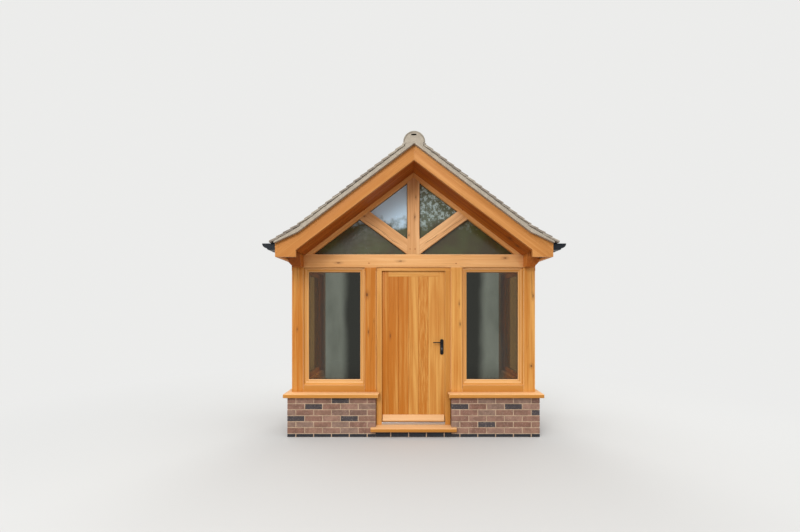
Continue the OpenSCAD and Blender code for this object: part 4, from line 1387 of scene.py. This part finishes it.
@dataclass
class Roof:
    """Boarding, bargeboards, tiles, ridge and gutters."""

    shop: Workshop
    kick: float = math.radians(24.5)
    kick_x: float = 1.326
    kick_z: float = 2.4575
    fascia_x: float = 1.596
    eaves_z: float = 2.3621
    verge: float = -0.925
    barge_arris: float = 0.002
    box_arris: float = 0.0015
    tile_arris: float = 0.0016
    ridge_arris: float = 0.002
    barge_back: float = -0.830
    soffit_drop: float = 0.115
    soffit_joint: Pair = (0.004, 0.002)
    lining_joint: Pair = (0.004, 0.003)
    lining_under: float = 0.08
    lining_x: float = 1.2
    lining_first: float = 0.15
    lining_board: float = 0.12
    lining_count: int = 11
    board_v: float = 0.0276
    tile_x: float = 1.652
    tile_v: float = 0.097
    tile: float = 0.012
    tile_length: float = 0.265
    eaves_length: float = 0.12
    verge_length: float = 0.21
    tile_gap: float = 0.001
    tile_lift: float = 0.0015
    tile_slip: float = 0.003
    smallest: float = 0.02
    edge_zone: float = 0.01
    from_ridge: float = 0.03
    past_kick: float = 0.02
    gauge: float = 0.100
    width: float = 0.165
    bed_low: float = 0.004
    bed_drop: float = 0.027
    kick_bed: tuple[Pair, ...] = ((0.015, 1.0), (0.0, 0.48), (-0.08, 0.92))
    recess: float = 0.018
    fillet: tuple[Pair, ...] = ((1.596, 0.038), (1.326, 0.048), (0.0, 0.048))
    fillet_set: float = 0.005
    fillet_gap: float = 0.0005
    cloak: float = 0.008
    cloak_set: float = 0.003
    ridge_r: float = 0.104
    slot_at: Triple = (-0.004, 0.0, 3.588)
    slot_half: Pair = (0.030, 0.0085)
    slot_depth: float = 0.15
    plug_face: float = 0.001
    plug_back: float = 0.004
    straps: Triple = (-0.72, -0.12, 0.48)
    strap: float = 0.024
    strap_scale: Triple = (0.998, 1.0, 1.03)

    def top(self, x: float) -> float:
        """Top of the boarding at a distance from the centre line."""
        slope = PITCH if x < self.kick_x else self.kick
        return self.kick_z + self.board_v + (self.kick_x - x) * math.tan(slope)

    def crest(self, x: float) -> float:
        """Line through the upper corners of the tile tails, at a distance from the centre line.

        Args:
            x: The distance.

        Returns:
            The height of the line.
        """
        if x < self.kick_x:
            return self.top(x) + self.tile_v
        high = self.top(self.kick_x) + self.tile_v
        edge = self.eaves_z + 2 * self.tile
        return high + (edge - high) * (x - self.kick_x) / (self.tile_x - self.kick_x)

    def slope(self, spot: Vector) -> tuple[str, Vector]:
        """Member name and grain direction of a piece that follows the slope."""
        way = 1.0 if spot.x > 0 else -1.0
        return f"slope{way:.0f}", Vector((way * math.cos(PITCH), 0.0, -math.sin(PITCH)))

    def boards(self) -> None:
        """Bargeboards, eaves boxes, ridge board, soffit and lining."""
        for side, _ in SIDES:
            self.shop.timber(f"bargeboard_{side}", f"oak_bargeboard_{side}", Finishes.BARGE, self.barge_arris,
                             self.slope)
        for node, finish in (("eaves_box_left", Finishes.RAFTER), ("eaves_box_right", Finishes.RAFTER),
                             ("ridge_board", Finishes.LINING)):
            self.shop.timber(node, f"board_{node}", finish, self.box_arris, lambda spot: ("box", ALONG))
        self.soffit()
        for side, sign in SIDES:
            self.lining(side, sign)

    def soffit(self) -> None:
        """Three boards under the overhang, which follow both slopes."""
        mesh = self.shop.copy("overhang_soffit")
        step = (FRAME_Y - self.barge_back) / 3
        joints = [self.barge_back + step, self.barge_back + 2 * step]
        under = self.top(0.0) - self.soffit_drop
        depth, half = self.soffit_joint

        def sort(spot: Vector) -> tuple[str, Vector]:
            """Board name and grain direction at a spot."""
            name, run = self.slope(spot)
            return f"{name}_{sum(spot.y > y for y in joints)}", run

        for y in joints:
            score(mesh, ALONG * y, ALONG, UP * depth, half,
                  lambda spot: spot.z < under - abs(spot.x) * math.tan(PITCH))
        self.shop.timber("overhang_soffit", "soffit_boards", Finishes.SOFFIT, 0.0, sort, mesh=mesh)

    def lining(self, side: str, sign: float) -> None:
        """Lining boards under one slope, each running back to the house.

        Args:
            side: Either left or right.
            sign: Minus one on the left.
        """
        node = f"roof_deck_{side}"
        mesh = self.shop.copy(node)
        down = Vector((sign * math.cos(PITCH), 0.0, -math.sin(PITCH)))
        out = Vector((-sign * math.sin(PITCH), 0.0, -math.cos(PITCH)))
        start = UP * self.top(0.0)
        depth, half = self.lining_joint
        places = [self.lining_first + self.lining_board * i for i in range(self.lining_count)]
        for place in places:
            score(mesh, start + down * place, down, out * -depth, half,
                  lambda spot: (spot - start).dot(out) > self.lining_under and abs(spot.x) < self.lining_x)
        self.shop.timber(node, f"lining_{side}", Finishes.LINING, 0.0, lambda spot: (
            f"board{sum((spot - start).dot(down) > p for p in places)}", ALONG), mesh=mesh)

    def tiles(self, side: str, sign: float) -> None:
        """Plain tiles of one slope, half-bonded, from the short course under the eaves tiles up.

        Args:
            side: Either left or right.
            sign: Minus one on the left.
        """
        step = self.gauge * math.cos(PITCH)
        kink = int((self.tile_x - self.kick_x) / step)
        mesh = bmesh.new()
        for course in range(-1, int(self.tile_x / step)):
            low = course < 0
            x0 = self.tile_x - max(course, 0) * step
            x1 = x0 - step
            drop = self.tile if low else 0.0
            tail = Vector((x0, 0.0, self.crest(x0) - drop))
            run = (Vector((x1, 0.0, self.crest(x1) - self.tile - drop)) - tail).normalized()
            length = min(self.eaves_length if low else self.tile_length, (x0 - self.from_ridge) / abs(run.x))
            limit = self.kick_x - self.past_kick if course < kink else self.ridge_r
            short = min(length, self.verge_length, (x0 - limit) / abs(run.x))
            y = self.verge - (course % 2) * self.width / 2
            while y < WALL_Y - self.edge_zone:
                a, b = max(y, self.verge) + self.tile_gap, min(y + self.width, WALL_Y) - self.tile_gap
                y += self.width
                if b - a < self.smallest:
                    continue
                lift = self.shop.dice.uniform(-self.tile_lift, 0.0)
                slip = 0.0 if low else self.shop.dice.uniform(0.0, self.tile_slip)
                reach = short if a < self.verge + self.edge_zone else length
                if reach < self.smallest:
                    continue
                turn = Matrix.Rotation(-math.atan2(-run.z, -run.x), 4, "Y")
                slab(mesh, (-reach, a, -self.tile), (0.0, b, 0.0),
                     Matrix.Translation(tail + run * slip + UP * lift) @ turn)
        if sign < 0:
            bmesh.ops.scale(mesh, vec=(-1, 1, 1), verts=mesh.verts[:])
            bmesh.ops.reverse_faces(mesh, faces=mesh.faces[:])
        ease(mesh, self.tile_arris, 1)
        self.shop.lay_tones(mesh)
        self.shop.publish(f"tiles_{side}", mesh, Finishes.TILE, replaces=[f"roof_tiles_{side}"])
        self.bed(side, sign, self.tile_x - kink * step)

    def bed(self, side: str, sign: float, tail: float) -> None:
        """Mortar under the tiles, which closes the wedge at the kick, and the undercloak at the verge.

        Args:
            side: Either left or right.
            sign: Minus one on the left.
            tail: Distance from the centre line of the tile tail that lies next to the kick.
        """
        low = [(0.0, self.top(0.0)), (self.kick_x, self.top(self.kick_x)), (self.fascia_x, self.eaves_z)]
        core = [(x, z + self.bed_low) for x, z in low]
        drops = ((self.fascia_x, 1.0), *((tail + past, share) for past, share in self.kick_bed), (0.0, 1.0))
        high = [(x, self.crest(x) - self.bed_drop * share) for x, share in drops]
        fillet = [(x, self.crest(x) - drop) for x, drop in self.fillet]
        cloak = [(x, z + self.cloak) for x, z in reversed(low)]
        front = self.verge + self.recess
        for name, solids in (
                ("bedding", ((core + high, front, WALL_Y),
                             (core + fillet, self.verge + self.fillet_set, front - self.fillet_gap))),
                ("undercloak", ((low + cloak, self.verge + self.cloak_set, self.barge_back),))):
            mesh = bmesh.new()
            for outline, near, far in solids:
                prism(mesh, [(sign * x, z) for x, z in outline], near, far)
            self.shop.publish(f"{name}_{side}", mesh, Finishes.BEDDING)

    def ridge(self) -> None:
        """Ridge tiles, their mortar and the slot in the mortar plug, whose inner faces take a near-black finish as
        painted shade.
        """
        mesh = self.shop.copy("ridge_tiles")
        ease(mesh, self.ridge_arris, 2, 40)
        self.shop.lay_tones(mesh)
        self.shop.publish("ridge_run", mesh, Finishes.RIDGE, replaces=["ridge_tiles"], smooth=30)
        mesh = self.shop.copy("ridge_mortar")
        for vert in mesh.verts:
            if vert.co.y < self.verge + self.plug_face:
                vert.co.y += self.plug_back
        centre, (half_w, half_h) = Vector(self.slot_at), self.slot_half
        for way, half in ((ACROSS, half_w), (UP, half_h)):
            for end in (-half, half):
                cut(mesh, centre + way * end, way)
        slot = [f for f in mesh.faces if f.normal.y < -0.9 and abs(f.calc_center_median().x - centre.x) < half_w
                and abs(f.calc_center_median().z - centre.z) < half_h]
        deep = push_out(mesh, slot)
        bmesh.ops.translate(mesh, verts=deep, vec=(0, self.slot_depth, 0))
        bmesh.ops.delete(mesh, geom=slot, context="FACES")
        bmesh.ops.recalc_face_normals(mesh, faces=mesh.faces[:])
        # Painted shade: the slot's inner faces take the near-black gasket finish.
        for face in {f for v in deep for f in v.link_faces}:
            face.material_index = 1
        piece = self.shop.publish("ridge_bed", mesh, Finishes.BEDDING, replaces=["ridge_mortar"], smooth=30)
        piece.data.materials.append(Finishes.GASKET.material())

    def gutter(self, node: str) -> None:
        """Make one gutter and its brackets, which are slices of it, scaled about its upper middle.

        Args:
            node: The gutter's node.
        """
        self.shop.publish(f"{node}_run", self.shop.copy(node), Finishes.GUTTER, replaces=[node], smooth=35)
        low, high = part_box(node)
        centre = Matrix.Translation((-(low[0] + high[0]) / 2, 0.0, -high[2]))
        straps = bmesh.new()
        for y in self.straps:
            strap = self.shop.copy(node)
            cut(strap, ALONG * y, ALONG, clear_inner=True)
            cut(strap, ALONG * (y + self.strap), ALONG, clear_outer=True)
            bmesh.ops.scale(strap, vec=self.strap_scale, verts=strap.verts[:], space=centre)
            part = mesh_data("strap", strap)
            straps.from_mesh(part)
            bpy.data.meshes.remove(part)
        bmesh.ops.holes_fill(straps, edges=straps.edges[:], sides=0)
        bmesh.ops.recalc_face_normals(straps, faces=straps.faces[:])
        self.shop.publish(f"{node}_brackets", straps, Finishes.GUTTER)

    def build(self) -> None:
        """Make the whole roof."""
        self.boards()
        for side, sign in SIDES:
            self.tiles(side, sign)
        self.ridge()
        for side, _ in SIDES:
            self.gutter(f"gutter_{side}")


@dataclass
class Door:
    """Door frame, sill, leaf and furniture."""

    shop: Workshop
    boards_half: float = 0.317
    door_head: float = 2.092
    boards: int = 5
    arris: float = 0.0018
    small_arris: float = 0.0015
    bar_arris: float = 0.001
    iron_arris: float = 0.0016
    lever_arris: float = 0.002
    hinge_arris: float = 0.0004
    joint_depth: float = 0.003
    arch_width: float = 1.8
    arch_rise: float = 0.11
    sill_tone: float = 1.2
    board_tones: tuple[float, ...] = (0.92, 0.88, 0.2, 0.5, 0.15)
    stile_tones: dict[str, float] = field(default_factory=lambda: {"stileFalse": 0.9, "stileTrue": 0.1})
    handle: Triple = (0.362, -0.339, 1.097)
    plate_reach: float = 0.0355
    lock_half: Pair = (0.012, 0.03)

    def surround(self) -> None:
        """Frame, sill and weather bar."""
        mesh = self.shop.copy("door_frame")
        cut(mesh, UP * self.door_head, UP)

        def sort(spot: Vector) -> tuple[str, Vector]:
            """Head or jamb at a spot."""
            return ("head", ACROSS) if spot.z > self.door_head else (f"jamb{spot.x > 0}", UP)

        self.shop.timber("door_frame", "door_lining", Finishes.JOINERY, self.arris, sort, mesh=mesh)
        self.shop.timber("door_sill", "door_threshold", Finishes.JOINERY, self.small_arris,
                         lambda spot: ("sill", ACROSS), lambda number, name: self.sill_tone)
        mesh = self.shop.copy("weather_bar")
        ease(mesh, self.bar_arris)
        self.shop.publish("weather_bar_strip", mesh, Finishes.ALUMINIUM, replaces=["weather_bar"], smooth=40)

    def leaf(self) -> None:
        """Framed leaf with its V-jointed boards and weatherboard."""
        mesh = self.shop.copy("door_leaf")
        for x in (-self.boards_half, self.boards_half):
            cut(mesh, ACROSS * x, ACROSS)

        def sort(spot: Vector) -> tuple[str, Vector]:
            """Stile or rail at a spot."""
            stile = abs(spot.x) > self.boards_half
            return (f"stile{spot.x > 0}", UP) if stile else (f"rail{spot.z:.0f}", ACROSS)

        # The rails take the palest tone: on the top rail it is painted light against the shade that the frame head
        # casts.
        self.shop.timber("door_leaf", "door_stiles", Finishes.DOOR, self.arris, sort,
                         lambda number, name: self.stile_tones.get(name, 0.0), mesh, "door")
        self.boarding()
        self.shop.timber("weatherboard", "door_weatherboard", Finishes.PALE, self.small_arris,
                         lambda spot: ("drip", ACROSS), body="door")

    def boarding(self) -> None:
        """V-jointed boards, each with a tone of its own, a deep line at each joint, and arches on the fourth."""
        mesh = self.shop.copy("door_boards")
        low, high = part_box("door_boards")
        middle = (low[1] + high[1]) / 2
        joints = [low[0] + (high[0] - low[0]) * i / self.boards for i in range(1, self.boards)]
        for x in joints:
            cut(mesh, ACROSS * x, ACROSS)
            for vert in mesh.verts:
                if abs(vert.co.x - x) < NEAR:
                    vert.co.y += self.joint_depth if vert.co.y < middle else -self.joint_depth
        self.shop.lay_grain(mesh, lambda spot: (str(sum(spot.x > x for x in joints)), UP),
                            lambda number, name: self.board_tones[int(name)])
        grain = mesh.loops.layers.float_vector["grain"]
        left, right = joints[2:4]
        for face in mesh.faces:
            if left < face.calc_center_median().x < right:
                for corner in face.loops:
                    spot = corner.vert.co
                    away = (spot.x - (left + right) / 2) * self.arch_width
                    corner[grain] = (spot.z, away, self.arch_rise * (spot.z - low[2]))
        self.shop.publish("door_boarding", mesh, Finishes.DOOR, "door", ["door_boards"])

    def furniture(self) -> None:
        """Lever handles, their plates with the lock, and the hinges."""
        pieces = {}
        for node, body, finish, width in (
                ("handle_plates", "door", Finishes.IRON, self.iron_arris),
                ("lever", "lever", Finishes.IRON, self.lever_arris),
                ("frame_hinges", "porch", Finishes.STEEL, self.hinge_arris),
                ("leaf_hinges", "door", Finishes.STEEL, self.hinge_arris)):
            mesh = self.shop.copy(node)
            ease(mesh, width, 2, 40)
            pieces[node] = self.shop.publish(f"{node}_set", mesh, finish, body, [node], 35)
        plates = pieces["handle_plates"].data
        plates.materials.append(Finishes.LOCK.material())
        for face in plates.polygons:
            away = face.center - Vector(self.handle)
            lock = abs(away.x) < self.lock_half[0] and abs(away.z) < self.lock_half[1]
            face.material_index = int(abs(away.y) > self.plate_reach and lock)

    def build(self) -> None:
        """Make the whole door."""
        self.surround()
        self.leaf()
        self.furniture()


@dataclass
class Studio:
    """Floor, world, lamps and camera."""

    eye: Triple = (-0.082, -5.345, 1.62)
    lens: float = 17.55
    sensor: float = 36.0
    shift: Pair = (-0.00875, 0.0525)
    pale: Colour = (0.84, 0.84, 0.83, 1.0)
    ground: Colour = (0.52, 0.52, 0.51, 1.0)
    bounce: Colour = (0.34, 0.32, 0.30, 1.0)
    white: Colour = (1.0, 1.0, 1.0, 1.0)
    radius: float = 80.0
    fade: Pair = (2.4, 7.0)
    bright: Triple = (-0.10, -0.30, 0.95)
    dim: float = 0.12
    full: float = 0.68
    zenith: float = 0.95
    full_span: Pair = (-0.15, 0.25)
    zenith_span: Pair = (0.15, 0.95)
    lamps: tuple[tuple[str, Triple, Triple, float, float], ...] = (
        ("key", (-3.0, -8.5, 6.2), (0, 0, 1.6), 3.0, 350.0), ("fill", (8.5, -1.0, 5.0), (0, 0, 1.6), 5.0, 140.0),
        ("back", (0.0, 6.5, 6.6), (0, 0, 1.2), 2.5, 260.0))

    def floor(self) -> None:
        """A wide pale floor that fades into the background far away."""
        mesh = bmesh.new()
        bmesh.ops.create_circle(mesh, cap_ends=True, segments=64, radius=self.radius)
        data = mesh_data("studio_floor", mesh)
        made = bpy.data.materials.new("studio floor")
        made.use_nodes = True
        bench = NodeBench(made.node_tree)
        tone = bench.mix(bench.add("ShaderNodeLightPath").outputs["Is Camera Ray"], self.bounce, self.ground)
        matt = bench.add("ShaderNodeBsdfDiffuse", {"Color": tone}).outputs[0]
        glow = bench.add("ShaderNodeEmission", {"Color": self.pale, "Strength": 1.0}).outputs[0]
        far = bench.steps(bench.vector("LENGTH", bench.here()), *self.fade)
        blend = bench.add("ShaderNodeMixShader", {0: bench.times(far, self.looked_at(bench)), 1: matt, 2: glow})
        bench.add("ShaderNodeOutputMaterial", {"Surface": blend.outputs[0]})
        data.materials.append(made)
        floor = place_object("studio_floor", data)

    def looked_at(self, bench: NodeBench) -> Socket:
        """One for camera, glossy and transmission rays.

        Args:
            bench: The nodes of a material or a world.

        Returns:
            The mask.
        """
        path = bench.add("ShaderNodeLightPath").outputs
        first = bench.math("ADD", path["Is Camera Ray"], path["Is Glossy Ray"])
        return bench.math("ADD", first, path["Is Transmission Ray"], clamp=True)

    def world(self) -> None:
        """Soft light, stronger from above and in front, and a pale background behind it."""
        world = bpy.data.worlds.new("studio")
        world.use_nodes = True
        bench = NodeBench(world.node_tree)
        way = bench.add("ShaderNodeTexCoord").outputs["Generated"]
        facing = bench.vector("DOT_PRODUCT", way, self.bright)
        power = bench.math("ADD", bench.steps(facing, *self.full_span, (self.dim, self.full)),
                           bench.steps(facing, *self.zenith_span, (0.0, self.zenith)))
        soft = bench.add("ShaderNodeBackground", {"Color": self.white, "Strength": power}).outputs[0]
        back = bench.add("ShaderNodeBackground", {"Color": self.pale, "Strength": 1.0}).outputs[0]
        blend = bench.add("ShaderNodeMixShader", {0: self.looked_at(bench), 1: soft, 2: back})
        bench.add("ShaderNodeOutputWorld", {"Surface": blend.outputs[0]})
        bpy.context.scene.world = world

    def lamp(self, name: str, place: Triple, aim: Triple, size: float, power: float) -> None:
        """Add a large soft lamp.

        Args:
            name: Name of the lamp.
            place: Where it hangs.
            aim: The point that it faces.
            size: Side of its square in metres.
            power: Power in watts.
        """
        light = bpy.data.lights.new(name, "AREA")
        light.size = size
        light.energy = power
        lamp = place_object(name, light)
        lamp.location = place
        lamp.rotation_euler = (Vector(aim) - Vector(place)).to_track_quat("-Z", "Y").to_euler()

    def camera(self) -> None:
        """Camera at the photograph's place, level and looking straight back."""
        data = bpy.data.cameras.new("camera")
        data.lens = self.lens
        data.sensor_width = self.sensor
        data.shift_x, data.shift_y = self.shift
        camera = place_object("camera", data)
        camera.location = self.eye
        camera.rotation_euler = (math.pi / 2, 0.0, 0.0)
        bpy.context.scene.camera = camera

    def build(self) -> None:
        """Set up the studio."""
        self.floor()
        self.world()
        for lamp in self.lamps:
            self.lamp(*lamp)
        bpy.context.scene.view_settings.view_transform = "Standard"
        self.camera()


def main() -> None:
    """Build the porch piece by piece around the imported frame."""
    logging.basicConfig(level=logging.INFO, format="%(message)s")
    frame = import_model()
    Studio().build()
    shop = Workshop(frame)
    for part in (OakFrame(shop), Brickwork(shop), Windows(shop), Roof(shop), Door(shop)):
        part.build()
        LOG.info("built %s", type(part).__name__)
    floor = frame["nodes"]["floor_slab"]
    floor.data.materials.clear()
    floor.data.materials.append(Finishes.SCREED.material())


if __name__ == "__main__":
    main()
